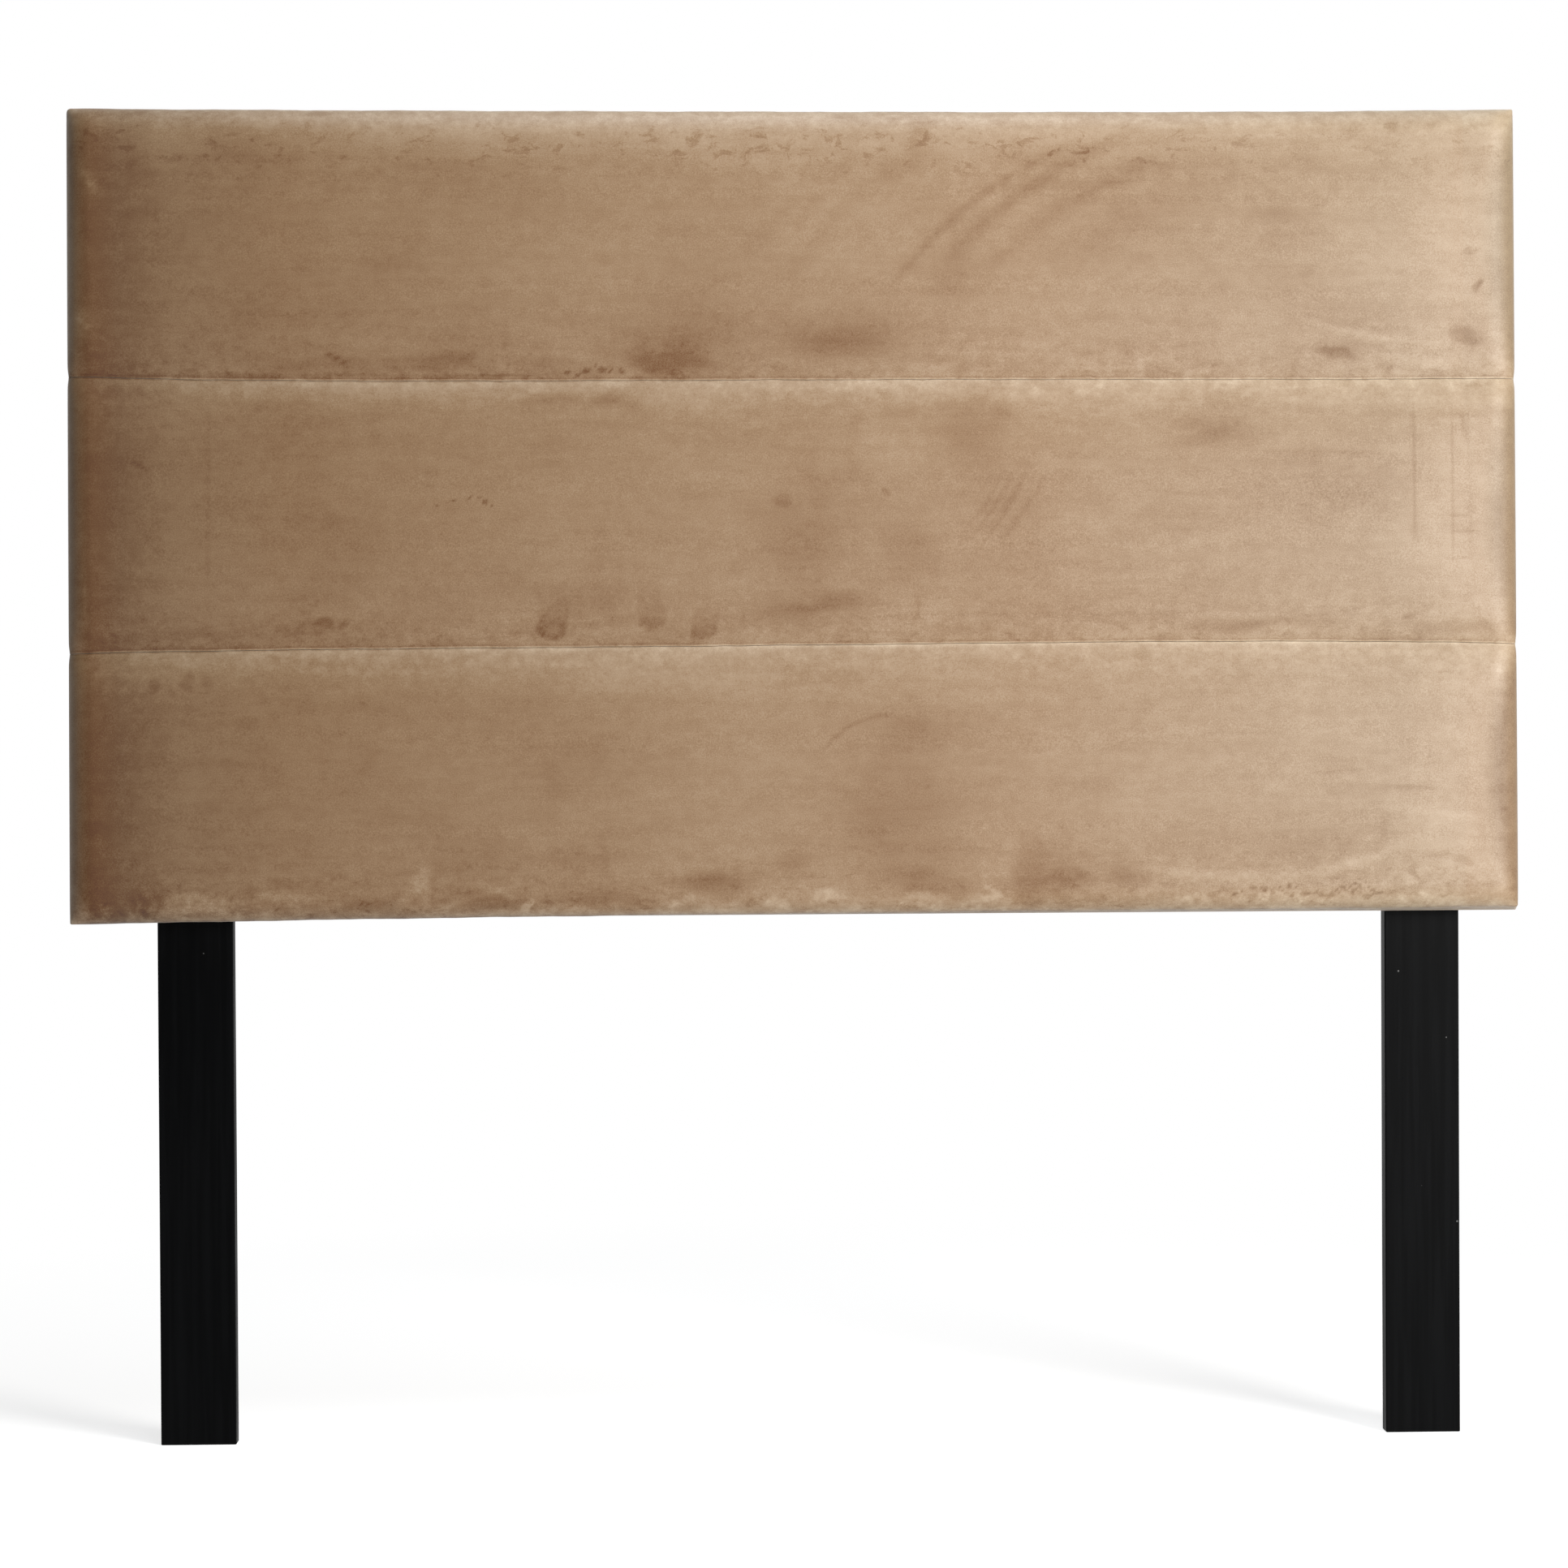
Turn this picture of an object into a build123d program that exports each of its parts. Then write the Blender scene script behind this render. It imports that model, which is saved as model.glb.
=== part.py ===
from build123d import *
from math import cos, radians, sin
import os

# Upholstered headboard on two board legs, in millimetres.
# The origin is on the floor under the middle of the object. Z is up, the padded front faces -Y.

# Outline
PANEL_WIDTH = 1600
PANEL_HEIGHT = 890
PANEL_BOTTOM = 590
PANEL_DEPTH = 70
CHANNEL_COUNT = 3

# Legs
LEG_WIDTH = 84
LEG_THICKNESS = 22
LEG_LENGTH = 1000
LEG_ARRIS = 1.5
LEFT_LEG_INSET = 88
RIGHT_LEG_INSET = 53

# Padding, seen in section from the front backwards
COVER_THICKNESS = 1.5
WADDING_THICKNESS = 5
SHOULDER_WIDTH = 32
EDGE_SHOULDER_DEPTH = 24
SEAM_DIP = 10
CROWN_RISE = 3
SHOULDER_BASE_SHARE = 0.4
END_ANGLES = (10, 26, 42, 58, 74, 90)

# Frame
FACE_BOARD_THICKNESS = 3
FRAME_DEPTH = 27
RAIL_HEIGHT = 45
STILE_WIDTH = 45
LEG_BATTEN_WIDTH = 90
DUST_COVER_THICKNESS = 1
DUST_COVER_INSET = 8
HEM_WIDTH = 40

# Frame screws, 4.5 x 80 countersunk
SCREW_LENGTH = 80
SCREW_RADIUS = 2.25
SCREW_HEAD_RADIUS = 4.5
SCREW_HEAD_HEIGHT = 3

# Leg fixings: M8 x 45 button-head bolts, washers and pronged T-nuts
BOLT_RADIUS = 4
BOLT_LENGTH = 45
BOLT_HEAD_RADIUS = 7
BOLT_HEAD_HEIGHT = 4.4
BOLT_HEAD_ROUND = 2
BOLT_SOCKET_RADIUS = 2.9
BOLT_SOCKET_DEPTH = 2.6
BOLT_CLEARANCE_RADIUS = 4.5
WASHER_RADIUS = 10
WASHER_BORE_RADIUS = 4.2
WASHER_THICKNESS = 1.6
COUNTERBORE_RADIUS = 11
COUNTERBORE_DEPTH = 8
T_NUT_FLANGE_RADIUS = 11
T_NUT_FLANGE_THICKNESS = 1.5
T_NUT_BARREL_RADIUS = 5
T_NUT_BARREL_LENGTH = 11
T_NUT_PRONG_LENGTH = 6
T_NUT_PRONG_CIRCLE = 8.5
T_NUT_PRONG_HALF_WIDTH = 1
T_NUT_PRONG_TURNS = (90, 210, 330)
BOLT_HEIGHTS = (700, 825, 950)

# Staples
STAPLE_CROWN = 11
STAPLE_WIRE = 0.95
STAPLE_GAUGE = 0.65
STAPLE_LEG = 8
COVER_STAPLE_EDGE = 25
DUST_STAPLE_EDGE = 16
FACE_STAPLE_EDGE = 24
RAIL_STAPLE_COUNT = 17
SIDE_STAPLE_PITCH = 90

# Worked out from the sizes above
HALF_WIDTH = PANEL_WIDTH / 2
PANEL_TOP = PANEL_BOTTOM + PANEL_HEIGHT
CHANNEL_HEIGHT = PANEL_HEIGHT / CHANNEL_COUNT
OBJECT_DEPTH = PANEL_DEPTH + LEG_THICKNESS
CROWN_Y = -OBJECT_DEPTH / 2
SEAM_Y = CROWN_Y + SEAM_DIP
PANEL_BACK = CROWN_Y + PANEL_DEPTH
LEG_BACK = PANEL_BACK + LEG_THICKNESS
HEM_BACK = PANEL_BACK - DUST_COVER_THICKNESS
FRAME_BACK = HEM_BACK - COVER_THICKNESS
FRAME_FRONT = FRAME_BACK - FRAME_DEPTH
BOARD_FRONT = FRAME_FRONT - FACE_BOARD_THICKNESS
FRAME_MIDDLE = (FRAME_FRONT + FRAME_BACK) / 2
EDGE_Y = CROWN_Y + EDGE_SHOULDER_DEPTH
FRAME_HALF_WIDTH = HALF_WIDTH - COVER_THICKNESS
FRAME_BOTTOM = PANEL_BOTTOM + COVER_THICKNESS
FRAME_TOP = PANEL_TOP - COVER_THICKNESS
STILE_BOTTOM = FRAME_BOTTOM + RAIL_HEIGHT
STILE_TOP = FRAME_TOP - RAIL_HEIGHT
LEFT_LEG_X = -HALF_WIDTH + LEFT_LEG_INSET + LEG_WIDTH / 2
RIGHT_LEG_X = HALF_WIDTH - RIGHT_LEG_INSET - LEG_WIDTH / 2
LEG_CENTRES = {"left": LEFT_LEG_X, "right": RIGHT_LEG_X}
WASHER_BACK = LEG_BACK - COUNTERBORE_DEPTH + WASHER_THICKNESS
OVERRUN = 2
BOTTOM_CHANNEL, TOP_CHANNEL = 0, CHANNEL_COUNT - 1
CHANNEL_NAMES = ("bottom", "middle", "top")


def block(x_range, y_range, z_range):
    """A box given by its lowest and highest X, Y and Z."""
    sizes = [high - low for low, high in (x_range, y_range, z_range)]
    middle = [(low + high) / 2 for low, high in (x_range, y_range, z_range)]
    return Pos(*middle) * Box(*sizes)


def rod(x, z, radius, front, back):
    """A round bar along Y."""
    return Pos(x, (front + back) / 2, z) * Rot(90, 0, 0) * Cylinder(radius, back - front)


def save(name, *solids):
    """Writes one node, as one solid or as a group of separate solids."""
    shape = solids[0] if len(solids) == 1 else Compound(children=list(solids))
    export_step(shape, f"parts/{name}.step")


def minus(host, *tools):
    """The host with the tools cut out of it, as one solid."""
    return host.cut(*tools).solids()[0]


# Padding

def channel_limits(index):
    """The seam or edge heights below and above a channel."""
    bottom = PANEL_BOTTOM + index * CHANNEL_HEIGHT
    return bottom, bottom + CHANNEL_HEIGHT


def pad_section(x, fullness, index, inset, sink):
    """The outline of a channel's padding across X: flat back, rolled shoulders and a crowned front."""
    bottom, top = channel_limits(index)
    bottom += inset
    top -= inset
    width = SHOULDER_WIDTH - inset
    base = EDGE_Y + SHOULDER_BASE_SHARE * sink

    def level(full_y):
        return base + (full_y + inset + sink - base) * fullness

    shoulder_y = level(CROWN_Y + CROWN_RISE)
    crown_y = level(CROWN_Y)

    def shoulder(end_z, inward, is_edge):
        end_y = base if is_edge else level(SEAM_Y)
        if is_edge:
            middle_z = end_z + inward * width * (1 - cos(radians(45)))
            middle_y = end_y + (shoulder_y - end_y) * sin(radians(45))
        else:
            middle_z = end_z + inward * width / 2
            middle_y = shoulder_y + (end_y - shoulder_y) / 4
        start = (x, end_y, end_z)
        middle = (x, middle_y, middle_z)
        end = (x, shoulder_y, end_z + inward * width)
        return start, middle, end

    low = shoulder(bottom, 1, index == BOTTOM_CHANNEL)
    high = shoulder(top, -1, index == TOP_CHANNEL)
    back_low = (x, BOARD_FRONT, bottom)
    back_high = (x, BOARD_FRONT, top)
    crown = (x, crown_y, (bottom + top) / 2)
    return Wire(
        [
            Edge.make_line(back_low, low[0]),
            Edge.make_three_point_arc(*low),
            Edge.make_three_point_arc(low[2], crown, high[2]),
            Edge.make_three_point_arc(*reversed(high)),
            Edge.make_line(high[0], back_high),
            Edge.make_line(back_high, back_low),
        ]
    )


def pad_form(index, inset, sink):
    """A channel's padding: a straight middle between two ends that roll over to the panel's sides."""
    reach = SHOULDER_WIDTH - inset
    end_x = HALF_WIDTH - inset
    angles = [radians(degrees) for degrees in END_ANGLES]
    stations = [(end_x, sin(angles[0]))]
    stations += [(end_x - reach * (1 - cos(angle)), sin(angle)) for angle in angles[1:]]
    straight_x = stations[-1][0]
    middle = Solid.extrude(
        Face(pad_section(-straight_x, 1, index, inset, sink)), Vector(2 * straight_x, 0, 0)
    )
    ends = []
    for side in (-1, 1):
        wires = [pad_section(side * x, fullness, index, inset, sink) for x, fullness in stations]
        ends.append(Solid.make_loft(wires))
    return middle.fuse(*ends).solids()[0]


def cover_panel(index):
    """One strip of the sewn cover: crowned front, seam allowances, side returns and back hem."""
    bottom, top = channel_limits(index)
    at_bottom = index == BOTTOM_CHANNEL
    at_top = index == TOP_CHANNEL
    core_z = (
        bottom + COVER_THICKNESS if at_bottom else bottom - OVERRUN,
        top - COVER_THICKNESS if at_top else top + OVERRUN,
    )
    window_z = (
        bottom + HEM_WIDTH if at_bottom else bottom - OVERRUN,
        top - HEM_WIDTH if at_top else top + OVERRUN,
    )
    window_half_width = HALF_WIDTH - HEM_WIDTH
    returns = block((-HALF_WIDTH, HALF_WIDTH), (BOARD_FRONT, HEM_BACK), (bottom, top))
    outside = pad_form(index, 0, 0).fuse(returns.solid())
    core = block((-FRAME_HALF_WIDTH, FRAME_HALF_WIDTH), (BOARD_FRONT, FRAME_BACK), core_z)
    window = block(
        (-window_half_width, window_half_width), (FRAME_BACK - OVERRUN, HEM_BACK + OVERRUN), window_z
    )
    return minus(outside, pad_form(index, COVER_THICKNESS, 0), core, window)


def wadding(index):
    """The soft sheet between the foam and the cover."""
    return minus(
        pad_form(index, COVER_THICKNESS, 0), pad_form(index, COVER_THICKNESS, WADDING_THICKNESS)
    )


def foam_pad(index):
    """The foam under the wadding, glued to the face board."""
    return pad_form(index, COVER_THICKNESS, WADDING_THICKNESS)


# Frame

def rail(z_range):
    return block((-FRAME_HALF_WIDTH, FRAME_HALF_WIDTH), (FRAME_FRONT, FRAME_BACK), z_range)


def upright(x, width, back):
    """A vertical member between the rails."""
    return block((x - width / 2, x + width / 2), (FRAME_FRONT, back), (STILE_BOTTOM, STILE_TOP))


def frame_screw(x, head_z, inward):
    """A countersunk screw along Z, driven through a rail into an upright's end grain."""
    tip_z = head_z + inward * SCREW_LENGTH
    shank = Cylinder(SCREW_RADIUS, SCREW_LENGTH)
    head = Cone(SCREW_RADIUS, SCREW_HEAD_RADIUS, SCREW_HEAD_HEIGHT)
    turn = Rot(90 + 90 * inward, 0, 0)
    head_middle_z = head_z + inward * SCREW_HEAD_HEIGHT / 2
    screw = Pos(x, FRAME_MIDDLE, (head_z + tip_z) / 2) * shank
    return (screw + Pos(x, FRAME_MIDDLE, head_middle_z) * turn * head).solid()


def frame_screws(uprights):
    """Two screws at each end of each upright, given as pairs of centre and width."""
    screws = []
    for x, width in uprights:
        for side in (-1, 1):
            screw_x = x + side * width / 4
            screws.append(frame_screw(screw_x, FRAME_TOP, -1))
            screws.append(frame_screw(screw_x, FRAME_BOTTOM, 1))
    return screws


# Staples

def staple(x, z, surface_y, outward, along_x):
    """A staple whose crown lies from surface_y outwards and whose legs go the other way."""
    half = STAPLE_CROWN / 2
    wire = STAPLE_WIRE / 2
    crown_y = sorted((surface_y, surface_y + outward * STAPLE_GAUGE))
    leg_y = sorted((surface_y, surface_y - outward * STAPLE_LEG))

    def piece(low, high, y_range):
        if along_x:
            return block((x + low, x + high), y_range, (z - wire, z + wire))
        return block((x - wire, x + wire), y_range, (z + low, z + high))

    crown = piece(-half, half, crown_y)
    first_leg = piece(-half, -half + STAPLE_GAUGE, leg_y)
    second_leg = piece(half - STAPLE_GAUGE, half, leg_y)
    return (crown + first_leg + second_leg).solid()


def staple_ring(edge, surface_y, outward, is_free):
    """Staples round the panel, edge millimetres in from its outline, where is_free allows them."""
    staples = []
    pitch = (PANEL_WIDTH - 2 * HEM_WIDTH) / (RAIL_STAPLE_COUNT - 1)
    for z in (PANEL_BOTTOM + edge, PANEL_TOP - edge):
        for step in range(RAIL_STAPLE_COUNT):
            x = -HALF_WIDTH + HEM_WIDTH + step * pitch
            if is_free(x, z):
                staples.append(staple(x, z, surface_y, outward, True))
    for x in (-HALF_WIDTH + edge, HALF_WIDTH - edge):
        for index in range(CHANNEL_COUNT):
            middle_z = sum(channel_limits(index)) / 2
            for step in (-1, 0, 1):
                staples.append(staple(x, middle_z + step * SIDE_STAPLE_PITCH, surface_y, outward, False))
    return staples


def anywhere(x, z):
    return True


def clear_of_legs(x, z):
    """True where a staple of the bottom row isn't under a leg."""
    reach = LEG_WIDTH / 2 + STAPLE_CROWN
    return z > PANEL_TOP - HEM_WIDTH or all(abs(x - leg_x) > reach for leg_x in LEG_CENTRES.values())


# Legs and their fixings

def leg(x):
    """A board leg with rounded arrises and counterbored bolt holes."""
    board = block((x - LEG_WIDTH / 2, x + LEG_WIDTH / 2), (PANEL_BACK, LEG_BACK), (0, LEG_LENGTH))
    board = fillet(board.edges(), LEG_ARRIS).solid()
    holes = [rod(x, z, BOLT_CLEARANCE_RADIUS, PANEL_BACK - OVERRUN, LEG_BACK) for z in BOLT_HEIGHTS]
    counterbores = [
        rod(x, z, COUNTERBORE_RADIUS, LEG_BACK - COUNTERBORE_DEPTH, LEG_BACK + OVERRUN)
        for z in BOLT_HEIGHTS
    ]
    return minus(board, *holes, *counterbores)


def leg_bolt(x, z):
    """A button-head bolt with a hexagon socket, driven from the back."""
    head = Cylinder(BOLT_HEAD_RADIUS, BOLT_HEAD_HEIGHT)
    head = fillet(head.edges().sort_by(Axis.Z)[-1], BOLT_HEAD_ROUND)
    socket = extrude(RegularPolygon(BOLT_SOCKET_RADIUS, 6), BOLT_SOCKET_DEPTH)
    head -= Pos(0, 0, BOLT_HEAD_HEIGHT / 2 - BOLT_SOCKET_DEPTH) * socket
    head = Pos(x, WASHER_BACK + BOLT_HEAD_HEIGHT / 2, z) * Rot(-90, 0, 0) * head
    return (head + rod(x, z, BOLT_RADIUS, WASHER_BACK - BOLT_LENGTH, WASHER_BACK)).solid()


def leg_washer(x, z):
    ring = rod(x, z, WASHER_RADIUS, WASHER_BACK - WASHER_THICKNESS, WASHER_BACK)
    return (ring - rod(x, z, WASHER_BORE_RADIUS, WASHER_BACK - OVERRUN, WASHER_BACK + OVERRUN)).solid()


def t_nut_body(x, z):
    """A T-nut before its bore is cut: flange let into the batten's front, barrel and three prongs."""
    flange_back = FRAME_FRONT + T_NUT_FLANGE_THICKNESS
    body = rod(x, z, T_NUT_FLANGE_RADIUS, FRAME_FRONT, flange_back)
    body += rod(x, z, T_NUT_BARREL_RADIUS, flange_back, flange_back + T_NUT_BARREL_LENGTH)
    for turn in T_NUT_PRONG_TURNS:
        prong_x = x + T_NUT_PRONG_CIRCLE * cos(radians(turn))
        prong_z = z + T_NUT_PRONG_CIRCLE * sin(radians(turn))
        body += block(
            (prong_x - T_NUT_PRONG_HALF_WIDTH, prong_x + T_NUT_PRONG_HALF_WIDTH),
            (flange_back, flange_back + T_NUT_PRONG_LENGTH),
            (prong_z - T_NUT_PRONG_HALF_WIDTH, prong_z + T_NUT_PRONG_HALF_WIDTH),
        )
    return body.solid()


def t_nut(x, z):
    return minus(t_nut_body(x, z), rod(x, z, BOLT_RADIUS, FRAME_FRONT - OVERRUN, FRAME_BACK))


def leg_batten(x):
    """An upright behind which a leg is bolted; its back stands level with the cover's hem."""
    bolt_holes = [rod(x, z, BOLT_CLEARANCE_RADIUS, FRAME_FRONT, HEM_BACK + OVERRUN) for z in BOLT_HEIGHTS]
    nut_seats = [t_nut_body(x, z) for z in BOLT_HEIGHTS]
    return minus(upright(x, LEG_BATTEN_WIDTH, HEM_BACK).solid(), *bolt_holes, *nut_seats)


def dust_cover():
    """The black sheet that closes the back, with a hole for each leg bolt."""
    half_width = HALF_WIDTH - DUST_COVER_INSET
    sheet = block(
        (-half_width, half_width),
        (HEM_BACK, PANEL_BACK),
        (PANEL_BOTTOM + DUST_COVER_INSET, PANEL_TOP - DUST_COVER_INSET),
    )
    holes = [
        rod(x, z, BOLT_CLEARANCE_RADIUS, HEM_BACK - OVERRUN, PANEL_BACK + OVERRUN)
        for x in LEG_CENTRES.values()
        for z in BOLT_HEIGHTS
    ]
    return minus(sheet.solid(), *holes)


def near(host, tools):
    """The tools whose boxes meet the host's box."""
    box = host.bounding_box()
    met = []
    for tool in tools:
        other = tool.bounding_box()
        apart = (
            other.min.X > box.max.X or other.max.X < box.min.X
            or other.min.Y > box.max.Y or other.max.Y < box.min.Y
            or other.min.Z > box.max.Z or other.max.Z < box.min.Z
        )
        if not apart:
            met.append(tool)
    return met


def main():
    os.makedirs("parts", exist_ok=True)

    face_staples = staple_ring(FACE_STAPLE_EDGE, BOARD_FRONT + STAPLE_GAUGE, -1, anywhere)
    cover_staples = staple_ring(COVER_STAPLE_EDGE, HEM_BACK - STAPLE_GAUGE, 1, anywhere)
    dust_staples = staple_ring(DUST_STAPLE_EDGE, PANEL_BACK, 1, clear_of_legs)
    staples = face_staples + cover_staples + dust_staples

    stile_x = FRAME_HALF_WIDTH - STILE_WIDTH / 2
    uprights = [(-stile_x, STILE_WIDTH), (stile_x, STILE_WIDTH), (0, STILE_WIDTH)]
    uprights += [(x, LEG_BATTEN_WIDTH) for x in LEG_CENTRES.values()]
    screws = frame_screws(uprights)

    frame = {
        "frame_top_rail": rail((STILE_TOP, FRAME_TOP)),
        "frame_bottom_rail": rail((FRAME_BOTTOM, STILE_BOTTOM)),
        "frame_left_stile": upright(-stile_x, STILE_WIDTH, FRAME_BACK),
        "frame_right_stile": upright(stile_x, STILE_WIDTH, FRAME_BACK),
        "frame_centre_stile": upright(0, STILE_WIDTH, FRAME_BACK),
        "left_leg_batten": leg_batten(LEFT_LEG_X),
        "right_leg_batten": leg_batten(RIGHT_LEG_X),
    }
    face_board = block(
        (-FRAME_HALF_WIDTH, FRAME_HALF_WIDTH), (BOARD_FRONT, FRAME_FRONT), (FRAME_BOTTOM, FRAME_TOP)
    )
    frame["face_board"] = face_board
    for name, member in frame.items():
        member = member.solid()
        save(name, minus(member, *near(member, staples + screws)))
    save("frame_screws", *screws)

    for index, name in enumerate(CHANNEL_NAMES):
        save(f"{name}_foam_pad", foam_pad(index))
        save(f"{name}_wadding", wadding(index))
        cover = cover_panel(index)
        save(f"{name}_cover_panel", minus(cover, *near(cover, cover_staples + dust_staples)))

    sheet = dust_cover()
    save("dust_cover", minus(sheet, *near(sheet, dust_staples)))
    save("face_board_staples", *face_staples)
    save("cover_staples", *cover_staples)
    save("dust_cover_staples", *dust_staples)

    for side, x in LEG_CENTRES.items():
        save(f"{side}_leg", leg(x))
    places = [(x, z) for x in LEG_CENTRES.values() for z in BOLT_HEIGHTS]
    save("leg_bolts", *[leg_bolt(x, z) for x, z in places])
    save("leg_washers", *[leg_washer(x, z) for x, z in places])
    save("leg_t_nuts", *[t_nut(x, z) for x, z in places])


main()
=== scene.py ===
from math import cos, pi, radians, sin, tau

import bmesh
import bpy
import numpy as np
from mathutils import Matrix, Vector


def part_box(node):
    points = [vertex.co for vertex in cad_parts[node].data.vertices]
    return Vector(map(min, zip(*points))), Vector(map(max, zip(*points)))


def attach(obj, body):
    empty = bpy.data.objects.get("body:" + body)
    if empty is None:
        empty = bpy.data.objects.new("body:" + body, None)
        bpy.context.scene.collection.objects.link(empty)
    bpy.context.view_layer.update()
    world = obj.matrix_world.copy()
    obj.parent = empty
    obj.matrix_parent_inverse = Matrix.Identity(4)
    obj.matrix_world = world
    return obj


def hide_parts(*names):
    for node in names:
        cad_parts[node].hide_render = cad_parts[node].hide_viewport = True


# Upholstered headboard: the looks, in metres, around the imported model.

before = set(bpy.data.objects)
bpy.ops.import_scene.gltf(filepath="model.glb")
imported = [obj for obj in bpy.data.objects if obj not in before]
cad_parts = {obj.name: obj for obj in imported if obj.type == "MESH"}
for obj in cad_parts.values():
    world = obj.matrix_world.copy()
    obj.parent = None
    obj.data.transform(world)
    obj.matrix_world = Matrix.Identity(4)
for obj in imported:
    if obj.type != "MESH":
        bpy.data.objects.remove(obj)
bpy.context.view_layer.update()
scene = bpy.context.scene
MM = 0.001

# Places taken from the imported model
TOP_LOW, TOP_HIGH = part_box("top_cover_panel")
MIDDLE_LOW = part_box("middle_cover_panel")[0]
BOTTOM_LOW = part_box("bottom_cover_panel")[0]
HALF_WIDTH = TOP_HIGH.x
CROWN_Y = TOP_LOW.y
HEM_BACK = TOP_HIGH.y
BOARD_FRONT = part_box("face_board")[0].y
LEVELS = (BOTTOM_LOW.z, MIDDLE_LOW.z, TOP_LOW.z, TOP_HIGH.z)
STRIPS = ("bottom", "middle", "top")
LAST = len(STRIPS) - 1
PANEL_CENTRE = Vector((0, CROWN_Y, (LEVELS[0] + LEVELS[-1]) / 2))

# Form of the padded front
SHOULDER_WIDTH = 32 * MM
SHOULDER_DEPTH = 21 * MM
SEAM_DIP = 7 * MM
CROWN_RISE = 3 * MM
EDGE_Y = CROWN_Y + SHOULDER_DEPTH + CROWN_RISE
# end of the panel, line and radius of each outer corner
CORNERS = ((-1, 3, 5 * MM), (1, 3, 2 * MM), (-1, 0, 2 * MM), (1, 0, 3 * MM))
FOLD_RADIUS = 0.9 * MM
SEAM_GAP = 0.15 * MM
ALLOWANCE = 10 * MM
SEAM_PINCH = 1.0 * MM
SEAM_PINCH_REACH = 7 * MM
BACK_ROUND = 2.5 * MM
HEM_WIDTH = 40 * MM
HEM_SINK = 0.1 * MM
RETURN_SHARES = (0.12, 0.28, 0.5, 0.75, 1.0)
RETURN_EASE = 0.28
WALL_REACH, WALL_SLACK = 8 * MM, 0.3 * MM
HEM_STEPS = (6 * MM, 12 * MM, 24 * MM, HEM_WIDTH)
TURN_STEPS = (radians(30), radians(60), radians(90))
CLOTH_THICKNESS = 1.0 * MM
WELD_DISTANCE = 0.02 * MM

# Layers under the cover
COVER_THICKNESS = 1.5 * MM
FOAM_SINK = 6.6 * MM
LAYER_INSET = 1.6 * MM
RIM_THICKNESS = 0.4 * MM

# Meshes: pitch, steps round a shoulder at an edge, and distances of rows from a seam in millimetres
COVER_MESH = (3 * MM, 14, (2.5, 4, 6, 8.5, 11.5, 15, 19, 23.5, 28))
LAYER_MESH = (14 * MM, 6, (6, 14, 23))
CLOTH_MESH = (9 * MM, 5, (6, 14, 23))

# How the cloth is let swell
CLOTH_SETTINGS = {
    "quality": 6, "mass": 0.35, "tension_stiffness": 12, "compression_stiffness": 12,
    "bending_stiffness": 0.4, "shrink_min": 0.001, "use_pressure": True, "uniform_pressure_force": 1.4,
}
SMOOTHING_PASSES = 40
KEPT_WRINKLES = 0.2
CLOTH_FRAMES = 20
CLOTH_CAP = 5.0 * MM
HELD_WIDTH = 36 * MM

# How far the sewn lines leave their nominal heights, from the left end to the right, in millimetres
STATIONS = (-800, -550, 0, 550, 800)
LINE_BOWS = (
    (-5.0, -2.0, 1.8, 3.1, 4.0),
    (-4.0, -0.7, 2.0, 3.9, 0.1),
    (3.5, -1.9, -2.4, -3.3, -2.5),
    (2.2, 0.3, -1.8, -1.8, 0.5),
)
LEFT_SIDE_LEAN = (-1.1 * MM, 1.7 * MM)
RIGHT_SIDE_LEAN = (3.6 * MM, 0.2 * MM)
# size, length and phase of the waves along seams and edges, and of the puckers beside the seams
WAVES = ((0.18 * MM, 0.181, 0.4), (0.12 * MM, 0.067, 1.9), (0.06 * MM, 0.029, 4.4))
PUCKERS = ((0.22 * MM, 0.113, 0.7), (0.18 * MM, 0.047, 2.1), (0.12 * MM, 0.026, 5.0))
PUCKER_REACH = 16 * MM

# Camera, fitted to the photograph's 1932 pixel square
PHOTO_SIZE = 1932
FOCAL_PIXELS = 4500
SENSOR_WIDTH = 36
CAMERA_PLACE = Vector((-0.1266, -4.064, 0.7814))
CAMERA_YAW = radians(-1.603)
CAMERA_PITCH = radians(-0.651)
CAMERA_ROLL = radians(0.307)


# Node helpers

def new_material(name):
    """A material with only a Principled surface, and its tree."""
    material = bpy.data.materials.new(name)
    material.use_nodes = True
    return material, material.node_tree


def put(tree, socket, value):
    """Gives a socket a constant or the end of another node."""
    if isinstance(value, bpy.types.NodeSocket):
        tree.links.new(value, socket)
    else:
        socket.default_value = value


def put_all(tree, made, values):
    """Gives several inputs of a node their values; the keys are the inputs' names or places."""
    for key, value in values.items():
        put(tree, made.inputs[key], value)


def painted(material, values):
    """The material, once the inputs of its surface have their values."""
    put_all(material.node_tree, material.node_tree.nodes["Principled BSDF"], values)
    return material


def node(tree, kind, inputs=None, **settings):
    """A node with its settings and inputs."""
    made = tree.nodes.new(kind)
    for name, value in settings.items():
        setattr(made, name, value)
    put_all(tree, made, inputs or {})
    return made


def maths(tree, operation, first, second=0.0, third=0.0):
    return node(tree, "ShaderNodeMath", {0: first, 1: second, 2: third}, operation=operation).outputs[0]


def vectors(tree, operation, first, second, slot=1):
    return node(tree, "ShaderNodeVectorMath", {0: first, slot: second}, operation=operation).outputs[0]


def ramp(tree, value, low, high, out_low=0.0, out_high=1.0):
    """A smooth step of value between low and high."""
    inputs = {"Value": value, "From Min": low, "From Max": high, "To Min": out_low, "To Max": out_high}
    return node(tree, "ShaderNodeMapRange", inputs, interpolation_type="SMOOTHSTEP").outputs["Result"]


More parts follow.
